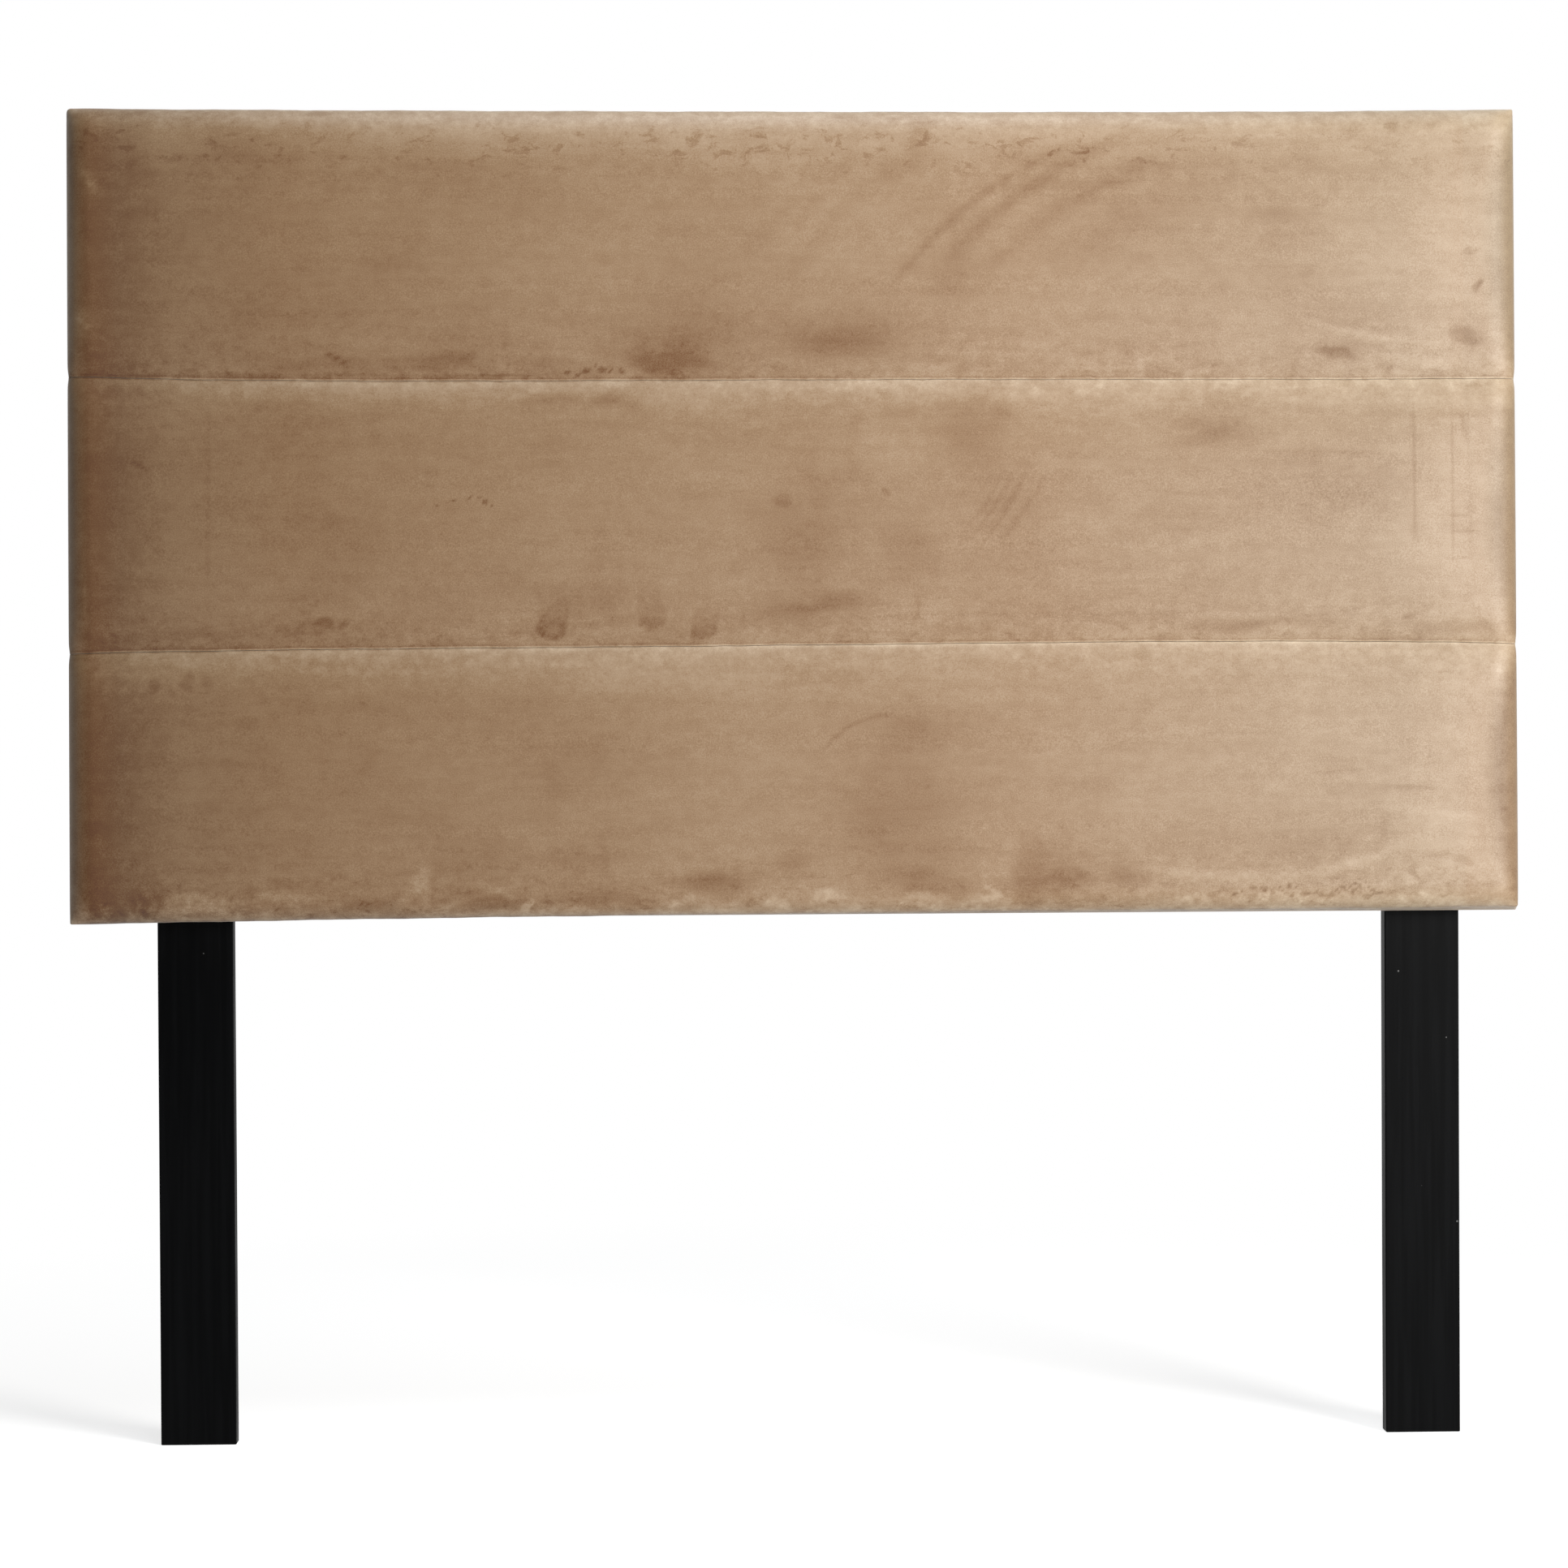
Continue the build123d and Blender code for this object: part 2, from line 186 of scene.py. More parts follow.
def place(tree, stretch=(1, 1, 1)):
    """Object coordinates in metres, multiplied by stretch."""
    coordinates = node(tree, "ShaderNodeTexCoord").outputs["Object"]
    return node(tree, "ShaderNodeMapping", {"Vector": coordinates, "Scale": stretch}).outputs[0]


def noise(tree, scale=1.0, stretch=(1, 1, 1), detail=2.0, roughness=0.5, distortion=0.0):
    """Noise over the object coordinates; stretch is how fine it is along x, y and z."""
    inputs = {"Vector": place(tree, stretch), "Scale": scale, "Detail": detail, "Roughness": roughness}
    return node(tree, "ShaderNodeTexNoise", {**inputs, "Distortion": distortion}).outputs["Fac"]


def blend(tree, share, first, second):
    """A colour between two colours."""
    return node(tree, "ShaderNodeMix", {0: share, 6: first, 7: second}, data_type="RGBA").outputs[2]


def bump(tree, height, strength, distance):
    inputs = {"Height": height, "Strength": strength, "Distance": distance}
    return node(tree, "ShaderNodeBump", inputs).outputs[0]


def rgba(red, green, blue):
    return (red, green, blue, 1.0)


# Velvet

VELVET_COLOUR = Vector((0.256, 0.1408, 0.051))
DARK_SHIFT = rgba(0.205, 0.145, 0.040)
LIGHT_SHIFT = rgba(0.29, 0.255, 0.185)
# tone of the painted sheen, added to the base colour
PAINTED_SHEEN_SHIFT = (-0.006, 0.038, 0.045)
VELVET_ROUGHNESS = 0.62
VELVET_IOR = 2.0
VELVET_SPECULAR = 0.51
DARK_GLOSS, LIGHT_GLOSS = 1.05, 0.70
SHEEN_WEIGHT = 0.40
SHEEN_ROUGHNESS = 0.40
SHEEN_TINT = rgba(1.0, 0.95, 0.88)
CLOUD_NAP, GRAIN_NAP, BRUSHED_NAP, TATTER_NAP = 0.26, 0.50, 0.09, 0.06
LIGHT_NAP, DARK_NAP, FLECK_NAP = 0.28, -0.17, -0.24
LEAST_GLOSS, DARKEST_SHARE = 0.08, 0.3
# how fine each noise is along x, y and z
BRUSHED, CLOUDS, TATTERS, FLECKS = (8, 40, 60), (6, 8, 9), (64, 70, 80), (52, 60, 84)
GRAIN_SCALE = 820


def velvet_material():
    """Velvet whose nap lies lighter or darker; the cover's fields hold the marks of hands and brushes, and
    painted shade, highlight and sheen.
    """
    material, tree = new_material("champagne_velvet")
    brushed = noise(tree, stretch=BRUSHED, detail=5.0, roughness=0.7)
    cloud = noise(tree, stretch=CLOUDS, detail=6.0, roughness=0.6, distortion=0.4)
    grain = noise(tree, GRAIN_SCALE, detail=1.0)
    tatter = noise(tree, stretch=TATTERS, detail=6.0, roughness=0.74)
    flecks = noise(tree, stretch=FLECKS, detail=4.0, roughness=0.66, distortion=0.5)
    flecks = ramp(tree, flecks, 0.54, 0.66)

    def field(name):
        return node(tree, "ShaderNodeAttribute", attribute_name=name).outputs["Fac"]

    def torn(name):
        """Where a field is strong enough to beat the tattered noise."""
        strength = field(name)
        edge = maths(tree, "MULTIPLY_ADD", maths(tree, "SUBTRACT", tatter, 0.5), 1.5, strength)
        return maths(tree, "MULTIPLY", ramp(tree, edge, 0.15, 1.0), ramp(tree, strength, 0.0, 0.35))

    streaks = ramp(tree, maths(tree, "MULTIPLY_ADD", brushed, 0.5, tatter), 0.5, 1.0, -1.0, 1.0)
    # the soft field holds nap marks, and painted shade and light at the ends, edges and seams
    nap = field("nap_soft")
    patterns = ((cloud, CLOUD_NAP), (grain, GRAIN_NAP), (brushed, BRUSHED_NAP), (tatter, TATTER_NAP))
    for pattern, weight in patterns:
        nap = maths(tree, "MULTIPLY_ADD", maths(tree, "SUBTRACT", pattern, 0.5), weight, nap)
    flecked = maths(tree, "MULTIPLY", flecks, field("nap_flecks"))
    marks = ((torn("nap_light"), LIGHT_NAP), (torn("nap_dark"), DARK_NAP), (flecked, FLECK_NAP))
    for mark, weight in (*marks, (streaks, field("nap_streaky"))):
        nap = maths(tree, "MULTIPLY_ADD", mark, weight, nap)

    lighter = maths(tree, "GREATER_THAN", nap, 0.0)
    shifted = vectors(tree, "SCALE", blend(tree, lighter, DARK_SHIFT, LIGHT_SHIFT), nap, "Scale")
    # painted sheen: the base colour turns greyer by its field, towards the panel's ends and along its bottom
    # edge
    painted_sheen_tone = vectors(tree, "SCALE", PAINTED_SHEEN_SHIFT, field("nap_grey"), "Scale")
    coloured = vectors(tree, "ADD", vectors(tree, "ADD", shifted, VELVET_COLOUR), painted_sheen_tone)
    slope = maths(tree, "MULTIPLY_ADD", lighter, LIGHT_GLOSS - DARK_GLOSS, DARK_GLOSS)
    gloss = maths(tree, "MAXIMUM", maths(tree, "MULTIPLY_ADD", nap, slope, VELVET_SPECULAR), LEAST_GLOSS)
    gloss = maths(tree, "MINIMUM", gloss, 1.0)
    return painted(material, {
        "Base Color": vectors(tree, "MAXIMUM", coloured, VELVET_COLOUR * DARKEST_SHARE),
        "Roughness": VELVET_ROUGHNESS, "IOR": VELVET_IOR, "Specular IOR Level": gloss,
        "Sheen Weight": SHEEN_WEIGHT, "Sheen Roughness": SHEEN_ROUGHNESS, "Sheen Tint": SHEEN_TINT,
        "Normal": bump(tree, grain, 0.15, 0.4 * MM),
    })


# Other materials

def fibre_material(name, light, dark, scale, roughness, depth):
    """Loose fibres or open cells: wadding and foam."""
    material, tree = new_material(name)
    cells = noise(tree, scale, detail=4.0, roughness=0.7)
    patches = noise(tree, scale / 30)
    mixed = maths(tree, "MULTIPLY_ADD", patches, 0.4, maths(tree, "MULTIPLY", cells, 0.6))
    return painted(material, {
        "Base Color": blend(tree, ramp(tree, mixed, 0.35, 0.65), dark, light),
        "Roughness": roughness, "Normal": bump(tree, cells, 0.5, depth),
    })


def wood_material(name, light, dark, along, ring_scale):
    """Sawn softwood with its grain along one axis."""
    material, tree = new_material(name)
    stretch = [1.0, 1.0, 1.0]
    stretch[along] = 0.06
    rings = noise(tree, ring_scale, stretch, detail=3.0, distortion=1.5)
    fibres = noise(tree, ring_scale, [value * 9 for value in stretch], detail=3.0)
    ringed = maths(tree, "MULTIPLY", ramp(tree, rings, 0.4, 0.62), 0.65)
    return painted(material, {
        "Base Color": blend(tree, maths(tree, "MULTIPLY_ADD", fibres, 0.35, ringed), light, dark),
        "Roughness": ramp(tree, fibres, 0.3, 0.7, 0.55, 0.75), "Normal": bump(tree, fibres, 0.35, 0.3 * MM),
    })


def hardboard_material():
    material, tree = new_material("brown_hardboard")
    flakes = noise(tree, 420.0, detail=4.0, roughness=0.7)
    return painted(material, {
        "Base Color": blend(tree, flakes, rgba(0.20, 0.11, 0.055), rgba(0.36, 0.22, 0.12)),
        "Roughness": 0.7, "Normal": bump(tree, flakes, 0.3, 0.2 * MM),
    })


def leg_material():
    """Black satin paint over wood: the grain shows faintly along the leg, with a few specks of dust."""
    material, tree = new_material("black_leg_paint")
    grain = noise(tree, stretch=(160, 160, 5), detail=3.0, roughness=0.6, distortion=0.3)
    orange_peel = noise(tree, 380.0)
    dust = node(tree, "ShaderNodeTexVoronoi", {"Vector": place(tree), "Scale": 26.0}).outputs["Distance"]
    rub = noise(tree, stretch=(14, 14, 4), detail=4.0, roughness=0.6)
    grained = ramp(tree, grain, 0.35, 0.7)
    paint = blend(tree, grained, rgba(0.0014, 0.0015, 0.0017), rgba(0.0032, 0.0034, 0.0038))
    relief = maths(tree, "MULTIPLY_ADD", orange_peel, 0.3, grain)
    return painted(material, {
        "Base Color": blend(tree, ramp(tree, dust, 0.032, 0.018), paint, rgba(0.12, 0.12, 0.12)),
        "Roughness": ramp(tree, rub, 0.3, 0.7, 0.40, 0.55), "Specular IOR Level": 0.045,
        "Normal": bump(tree, relief, 0.12, 0.25 * MM),
    })


def steel_material():
    material, tree = new_material("zinc_plated_steel")
    smear = noise(tree, 300.0, detail=3.0)
    return painted(material, {
        "Base Color": blend(tree, smear, rgba(0.50, 0.50, 0.49), rgba(0.70, 0.70, 0.68)),
        "Metallic": 1.0, "Roughness": ramp(tree, smear, 0.3, 0.7, 0.28, 0.45),
    })


def nonwoven_material():
    """Black spun dust cover, with its pattern of small welded points."""
    material, tree = new_material("black_dust_cover")
    fibres = noise(tree, 900.0, detail=3.0, roughness=0.7)
    welds = node(tree, "ShaderNodeTexVoronoi", {"Vector": place(tree), "Scale": 520.0, "Randomness": 0.12})
    points = ramp(tree, welds.outputs["Distance"], 0.12, 0.3)
    relief = maths(tree, "MULTIPLY_ADD", points, 0.6, fibres)
    return painted(material, {
        "Base Color": blend(tree, fibres, rgba(0.010, 0.010, 0.011), rgba(0.030, 0.030, 0.032)),
        "Roughness": 0.82, "Normal": bump(tree, relief, 0.3, 0.15 * MM),
    })


def add_object(name, data):
    """A new object in the scene."""
    made = bpy.data.objects.new(name, data)
    scene.collection.objects.link(made)
    return made


# Shape of the padded front

def unit(values):
    """Values cut off below 0 and above 1."""
    return np.clip(values, 0, 1)


def line_height(line, x):
    """Height of a sewn line or an edge at x, with the photograph's slight bow and waviness."""
    curve = np.polyfit(np.array(STATIONS) * MM, np.array(LINE_BOWS[line]) * MM, len(STATIONS) - 1)
    wave = sum(size * np.sin(tau * x / length + phase + line) for size, length, phase in WAVES)
    fade = unit((HALF_WIDTH - np.abs(x)) / SHOULDER_WIDTH)
    return LEVELS[line] + np.polyval(curve, x) + wave * fade


def side_shift(x, z):
    """Sideways shift of a point: the sides lean a little and are drawn in where the seams meet them."""
    left, right = (np.interp(z, (LEVELS[0], LEVELS[-1]), lean) for lean in (LEFT_SIDE_LEAN, RIGHT_SIDE_LEAN))
    pinch = np.zeros_like(z)
    for line, end in ((1, -1), (2, -1), (1, 1), (2, 1)):
        seam = line_height(line, np.array(end * HALF_WIDTH))
        near = np.exp(-((z - seam) / SEAM_PINCH_REACH) ** 2)
        pinch = np.where(np.sign(x) == end, np.maximum(pinch, near), pinch)
    reach = unit((np.abs(x) - HALF_WIDTH) / (4 * SHOULDER_WIDTH) + 1)
    lean = np.where(x < 0, left, right) * reach
    return lean - np.sign(x) * SEAM_PINCH * pinch * reach ** 4


def shoulder(distance, is_edge):
    """Depth of the padding at a distance from its edge or seam, without the crown."""
    rest = 1 - unit(distance / SHOULDER_WIDTH)
    if is_edge:
        return SHOULDER_DEPTH * np.sqrt(unit(1 - rest ** 2))
    return SHOULDER_DEPTH - SEAM_DIP * rest ** 2


def padding_depth(x, below, above, strip):
    """How far the cover stands in front of EDGE_Y, from the distances to the lines below and above."""
    low_is_edge, high_is_edge = strip == 0, strip == LAST
    across = shoulder(below, low_is_edge) * shoulder(above, high_is_edge) / SHOULDER_DEPTH
    crown = CROWN_RISE * (1 - (2 * below / (below + above) - 1) ** 2)
    pucker = sum(size * np.sin(tau * x / length + phase) for size, length, phase in PUCKERS)
    if not low_is_edge:
        across = across + pucker * np.exp(-below / PUCKER_REACH)
    if not high_is_edge:
        across = across - pucker * np.exp(-above / PUCKER_REACH)
    end = 1 - unit((HALF_WIDTH - np.abs(x)) / SHOULDER_WIDTH)
    return (across + crown) * np.sqrt(unit(1 - end ** 2))


def rolled(count):
    """Distances from an edge that follow a quarter turn of the shoulder."""
    return [SHOULDER_WIDTH * (1 - cos(radians(90) * step / count)) for step in range(count + 1)]


def even(start, stop, pitch):
    """Evenly spaced values between start and stop, without the ends."""
    count = max(1, round((stop - start) / pitch))
    return [start + (stop - start) * step / count for step in range(1, count)]


def grid(strip, pitch, end_steps, seam_steps):
    """X of a strip's columns and heights of its rows above its lower line, crowded at edges and seams."""
    ends = [HALF_WIDTH - distance for distance in rolled(end_steps)]
    columns = [-x for x in ends] + even(-ends[-1], ends[-1], pitch) + ends[::-1]
    height = LEVELS[strip + 1] - LEVELS[strip]
    at_seam = [FOLD_RADIUS + SEAM_GAP] + [step * MM for step in seam_steps] + [SHOULDER_WIDTH]
    low = rolled(end_steps) if strip == 0 else at_seam
    high = rolled(end_steps) if strip == LAST else at_seam
    rows = low + even(low[-1], height - high[-1], pitch) + [height - distance for distance in high[::-1]]
    return np.array(columns), np.array(rows)


def round_corners(x, z):
    """Draws the panel's outer corners in to their small radius, seen from the front."""
    for end, line, radius in CORNERS:
        up = 1 if line else -1
        across = (x - end * (HALF_WIDTH - radius)) * end / radius
        along = (z - (LEVELS[line] - up * radius)) * up / radius
        inside = (across > 0) & (along > 0)
        across, along = unit(across), unit(along)
        x = np.where(inside, x - end * radius * across * (1 - np.sqrt(1 - along ** 2 / 2)), x)
        z = np.where(inside, z - up * radius * along * (1 - np.sqrt(1 - across ** 2 / 2)), z)
    return x, z


def front_points(strip, columns, rows, inset=0.0, sink=0.0):
    """The padded front of a strip as a grid of points; inset and sink shrink it for the layers inside."""
    x = np.repeat(columns[None, :], len(rows), axis=0)
    height = LEVELS[strip + 1] - LEVELS[strip]
    low, high = line_height(strip, x), line_height(strip + 1, x)
    share = (rows / height)[:, None]
    depth = padding_depth(x, (high - low) * share, (high - low) * (1 - share), strip)
    x, z = round_corners(x, LEVELS[strip] + height * share + 0 * x)
    centre = (LEVELS[strip] + LEVELS[strip + 1]) / 2
    x = x * (1 - inset / HALF_WIDTH)
    z = centre + (z - centre) * (1 - 2 * inset / height)
    low, high = line_height(strip, x), line_height(strip + 1, x)
    z = low + (high - low) * (z - LEVELS[strip]) / height
    y = EDGE_Y - np.maximum(depth - sink, 0)
    return np.stack([x + side_shift(x, z), y, z], axis=-1)


# Marks in the nap, and painted shade, highlight and sheen, in millimetres on the panel's front: x from its
# middle, z from the floor.
# Strengths are shares of the nap's full shift, below zero where it lies dark.

FRONT_FADE = 20 * MM
EVEN_STREAKS = 0.05
# painted shade along the panel, darkest at both ends where the padding turns from the light, with a little
# painted highlight near the right end: stations and values
PAINTED_END_SHADING = (
    (-800, -775, -755, -680, -450, -250, 0, 650, 720, 760, 780, 800),
    (0.06, -0.40, -0.39, -0.19, -0.10, -0.03, 0.0, -0.02, 0.05, 0.03, -0.22, -0.14),
)
# painted sheen: how much greyer than elsewhere the velvet is painted towards the two ends
PAINTED_END_SHEEN = ((-800, -740, -560, 250, 660, 755, 780), (-0.1, 0.22, 0.0, 0.0, 0.40, 0.26, 0.58))
# how far the right end's painted shade slides off the panel at the seams, where the padding is pinched, and
# the painted light there
END_PUSH, END_LIFT, END_LIFT_REACH = 42, 0.12, ((766, 785), (0, 1))
# where the right end's torn band of painted shade starts and where its rise sets in
RIGHT_BAND, RIGHT_END = 740, ((750, 779), (0, 1))
# values at the lower and the upper edge, for the right end's painted shade and its painted sheen
RIGHT_SHADING_RISE, RIGHT_SHEEN_RISE = (-0.03, 0.05), (0.6, 1.5)
# seed, pitch, least and most share of the torn band
END_TEAR = (51, 90, 0.7, 1.3)

# shares along the panel: the same everywhere, then the painted highlight below each seam and the marks above
# it
EVEN = ((0,), (1,))
SHINE_STATIONS = (-800, -750, -600, 0, 600, 780, 800)
SHINES = {2: (0.1, 0.5, 0.85, 0.83, 0.83, 0.83, 0.5), 1: (0.3, 0.77, 0.85, 0.74, 0.58, 0.58, 0.4)}
ABOVE_SEAM = ((-800, -300, 100, 400, 800), (-0.05, -0.04, 0.06, 0.06, 0.04))
# share along the panel of the painted light on the fold above each seam
FOLD_SHARE = ((-600, 100), (0.3, 1.0))
BELOW, ABOVE = -1, 1


def seam_bands(line, strength, least, most, lip, lip_depth, lift):
    """The bands beside a seam: the bright band below it, nap with painted highlight, painted light at its
    fold, painted shade in its crease, and the marks above it.
    """
    shine = (SHINE_STATIONS, SHINES[line])
    seed = 10 * line + 11
    return (
        # painted highlight on the shoulder below the seam, torn like nap
        (line, BELOW, "soft", strength, shine, seed, 45, least, most),
        (line, BELOW, "soft", 0.10, shine, seed + 5, 30, 8, 20),
        (line, BELOW, "light", 0.42, shine, seed + 1, 30, least, 1.3 * most),
        (line, BELOW, "streaky", 0.06, EVEN, seed + 2, 60, 40, 90),
        # painted light on the lip of the fold, where the crease is in shade
        (line, BELOW, "soft", lip, EVEN, 0, 90, lip_depth, lip_depth),
        (line, ABOVE, "soft", 1.0, ABOVE_SEAM, seed + 3, 40, 14, 34),
        (line, ABOVE, "streaky", 0.07, EVEN, seed + 4, 70, 30, 90),
        (line, ABOVE, "flecks", 0.55, EVEN, seed + 6, 60, 12, 60),
        # painted shade in the crease just above the seam
        (line, ABOVE, "soft", -0.30, EVEN, 0, 90, 4.5, 4.5),
        # painted light on the fold just above the seam
        (line, ABOVE, "soft", lift, FOLD_SHARE, 0, 90, 1, 1),
    )


# Bands that run out from a line of the panel: line, side of it, field, strength, its share along the panel,
# then seed, pitch, least and most depth of the torn outline
BANDS = (
    # the top edge: nap and painted highlight on the shoulder that faces up, then streaks
    (3, BELOW, "soft", 0.31, EVEN, 11, 60, 44, 84), (3, BELOW, "light", 0.34, EVEN, 13, 38, 40, 100),
    (3, BELOW, "streaky", 0.08, EVEN, 12, 60, 80, 130),
    *seam_bands(2, 0.30, 22, 48, 0.11, 3, 0.20), *seam_bands(1, 0.28, 44, 70, 0.19, 5, 0.34),
    # the bottom edge: light nap, painted shade along its last 2.5 mm, streaks, flecks and painted sheen
    (0, ABOVE, "light", 0.60, EVEN, 41, 28, -8, 34), (0, ABOVE, "soft", 0.05, EVEN, 43, 50, 6, 40),
    (0, ABOVE, "soft", -0.45, EVEN, 0, 90, 2.5, 2.5), (0, ABOVE, "streaky", 0.09, EVEN, 42, 70, 40, 110),
    (0, ABOVE, "flecks", 0.70, EVEN, 44, 60, 20, 90), (0, ABOVE, "grey", 0.30, EVEN, 45, 40, 8, 26),
)
# the row of flecks below the top edge: its depth, torn half height, how dark it is, its share along the panel
FLECKS_DEPTH, FLECKS_TEAR, FLECKS_DARK = 40, (14, 50, 22, 50), 0.40
FLECKS_SHARE = ((-800, -500, -330, 420, 560, 800), (0.6, 0.7, 1.0, 1.0, 0.5, 0.6))

# centre x, centre z, half width, half height, tilt in degrees where there is one, strength
SOFT_PATCHES = (
    # top strip
    (-715, 1417, 28, 18, -0.04), (-600, 1424, 100, 12, -0.03), (-367, 1209, 46, 20, -0.09),
    (-119, 1256, 110, 62, -0.06), (-132, 1210, 70, 26, -0.12), (-112, 1222, 74, 40, 10, -0.09),
    (-210, 1312, 12, 9, -0.08), (30, 1395, 80, 45, 45, 0.03), (54, 1226, 88, 34, -0.15),
    (178, 1296, 30, 40, -0.10), (346, 1324, 34, 9, -0.06), (530, 1362, 34, 12, -0.09),
    (562, 1338, 26, 7, -0.07), (645, 1252, 80, 20, -6, -0.06), (602, 1209, 34, 13, -10, -0.09),
    (745, 1228, 26, 15, -25, -0.08), (420, 1370, 120, 50, -0.02), (-20, 1440, 70, 16, -0.03),
    (136, 1440, 20, 24, -0.08), (-771, 1402, 10, 22, 25, 0.20), (-779, 1249, 18, 12, 20, 0.16),
    (-420, 1203, 200, 14, -0.03), (-100, 1441, 480, 24, 0.08), (400, 1205, 200, 10, 0.02),
    (-330, 1460, 190, 24, 0.08), (-792, 1330, 12, 110, 0.12), (662, 1460, 9, 7, -0.10),
    (690, 1459, 18, 6, -0.08), (752, 1320, 8, 3, 35, -0.16), (757, 1283, 3, 10, -25, -0.16),
    # middle strip
    (-268, 1155, 34, 12, -0.10), (-203, 1158, 28, 9, -0.07), (90, 1110, 62, 44, 10, 0.08),
    (530, 1060, 120, 60, -0.07), (25, 1030, 66, 112, -0.09), (-10, 1000, 56, 54, -0.07),
    (112, 1144, 40, 16, -0.06), (196, 1110, 50, 42, -20, -0.08), (230, 1142, 18, 10, -0.07),
    (124, 992, 46, 46, -0.12), (232, 1040, 60, 70, -40, -0.05), (-212, 940, 22, 32, 20, -0.07),
    (-240, 938, 18, 20, -0.07), (14, 931, 80, 20, 8, -0.12), (461, 1122, 54, 26, -0.12),
    (630, 1048, 60, 44, -0.05), (480, 908, 60, 12, -0.03), (-620, 1120, 90, 60, -0.02),
    (-718, 1088, 12, 6, -30, -0.06), (-530, 906, 30, 12, -0.05), (300, 930, 40, 20, -0.04),
    # bottom strip
    (-285, 819, 50, 20, -0.06), (-240, 760, 100, 50, -0.06), (-271, 720, 12, 50, -0.06),
    (128, 796, 40, 26, -0.08), (122, 700, 84, 96, -0.12), (60, 690, 60, 60, -0.03),
    (320, 731, 60, 10, -0.06), (-340, 640, 40, 40, -0.06), (-232, 650, 70, 46, -0.10),
    (-342, 608, 50, 14, -0.09), (-472, 606, 40, 10, -0.09), (-210, 612, 60, 16, -0.06),
    (-90, 628, 56, 24, -0.12), (-4, 650, 28, 20, -0.08), (150, 628, 60, 26, -0.10),
    (260, 642, 34, 42, -0.11), (246, 616, 20, 18, -0.08), (300, 650, 42, 44, -0.09),
    (304, 630, 30, 15, -0.09), (362, 630, 24, 16, -0.09), (540, 668, 120, 30, 4, -0.05),
    (-758, 612, 15, 26, -0.08), (-416, 630, 26, 26, 0.06), (640, 700, 120, 40, 0.02),
    (-716, 610, 24, 20, -0.06), (600, 603, 220, 12, 0.14), (430, 606, 50, 12, 0.06),
    (268, 612, 20, 20, -0.08), (40, 604, 160, 12, 0.12), (280, 830, 160, 16, 0.06),
    (-80, 780, 90, 20, 0.04), (-20, 833, 120, 12, 0.04), (560, 606, 60, 10, 0.04),
)
# the same, with how solid it is instead of its strength: dark with a torn edge
DARK_MARKS = (
    # top strip
    (-136, 1200, 58, 15, 0.8), (58, 1221, 80, 22, 0.45), (602, 1208, 30, 8, -12, 0.9),
    (745, 1228, 28, 11, -25, 0.9), (748, 1320, 7, 5, -30, 1.0), (756, 1283, 5, 10, 20, 0.8),
    (662, 1460, 9, 7, 0.9), (681, 1459, 8, 6, 0.8), (700, 1459, 8, 5, 0.8), (734, 1455, 10, 5, 0.9),
    (615, 1450, 26, 10, 0.6), (178, 1318, 22, 9, 6, 0.35), (-593, 1445, 9, 6, 0.8),
    (540, 1358, 30, 12, 0.40), (-452, 1214, 20, 7, 0.5), (-60, 1446, 40, 12, 0.55),
    (40, 1440, 46, 16, 0.55), (136, 1446, 14, 22, 0.7), (-310, 1448, 40, 14, 0.6),
    (-600, 1438, 70, 16, 0.5), (-480, 1444, 60, 14, 0.5), (400, 1446, 90, 16, 0.5),
    (240, 1430, 70, 16, 10, 0.5), (110, 1412, 30, 16, 30, 0.5), (-260, 1198, 60, 10, 0.4),
    (-480, 1200, 140, 13, 0.5), (-380, 1206, 40, 12, 0.5),
    # middle strip
    (-268, 1160, 40, 8, 0.7), (-203, 1161, 28, 7, 0.65), (-14, 1046, 16, 10, 20, 0.7),
    (103, 1058, 7, 6, 0.8), (112, 1144, 36, 14, 0.3), (196, 1122, 50, 26, -15, 0.45),
    (230, 1143, 16, 9, 0.5), (-14, 1004, 44, 38, 0.25), (124, 992, 44, 42, 0.32),
    (-8, 926, 50, 12, 6, 0.5), (50, 936, 36, 15, 4, 0.6), (-520, 913, 16, 7, -25, 0.9),
    (-498, 912, 8, 8, 20, 0.8), (456, 1116, 46, 13, 6, 0.5), (761, 1174, 15, 6, 0.9),
    (480, 908, 60, 12, 0.45), (580, 910, 30, 10, 0.5), (-718, 1088, 8, 3, -30, 0.9),
    (-640, 904, 80, 9, 0.45), (720, 906, 60, 9, 0.4), (-212, 934, 14, 22, 30, 0.35),
    # bottom strip
    (-701, 850, 9, 13, 0.8), (-664, 850, 10, 14, 0.8), (-643, 850, 9, 13, 0.7), (-6, 650, 24, 17, 0.45),
    (-342, 606, 50, 13, 0.6), (-472, 606, 40, 9, 0.6), (-90, 624, 46, 18, 0.6), (150, 622, 56, 24, 0.6),
    (256, 640, 28, 38, 0.45), (304, 632, 30, 18, 0.5), (362, 632, 20, 16, -30, 0.5),
    (124, 794, 40, 22, 0.4), (122, 690, 76, 88, 0.3), (-720, 610, 6, 18, 0.8), (-704, 612, 5, 16, 0.7),
    (-732, 608, 5, 14, 0.7), (-230, 612, 60, 14, 0.5), (-560, 606, 60, 8, 0.45),
    (686, 632, 6, 16, 10, 0.8), (744, 648, 16, 6, -20, 0.7), (740, 622, 8, 6, 0.6),
)
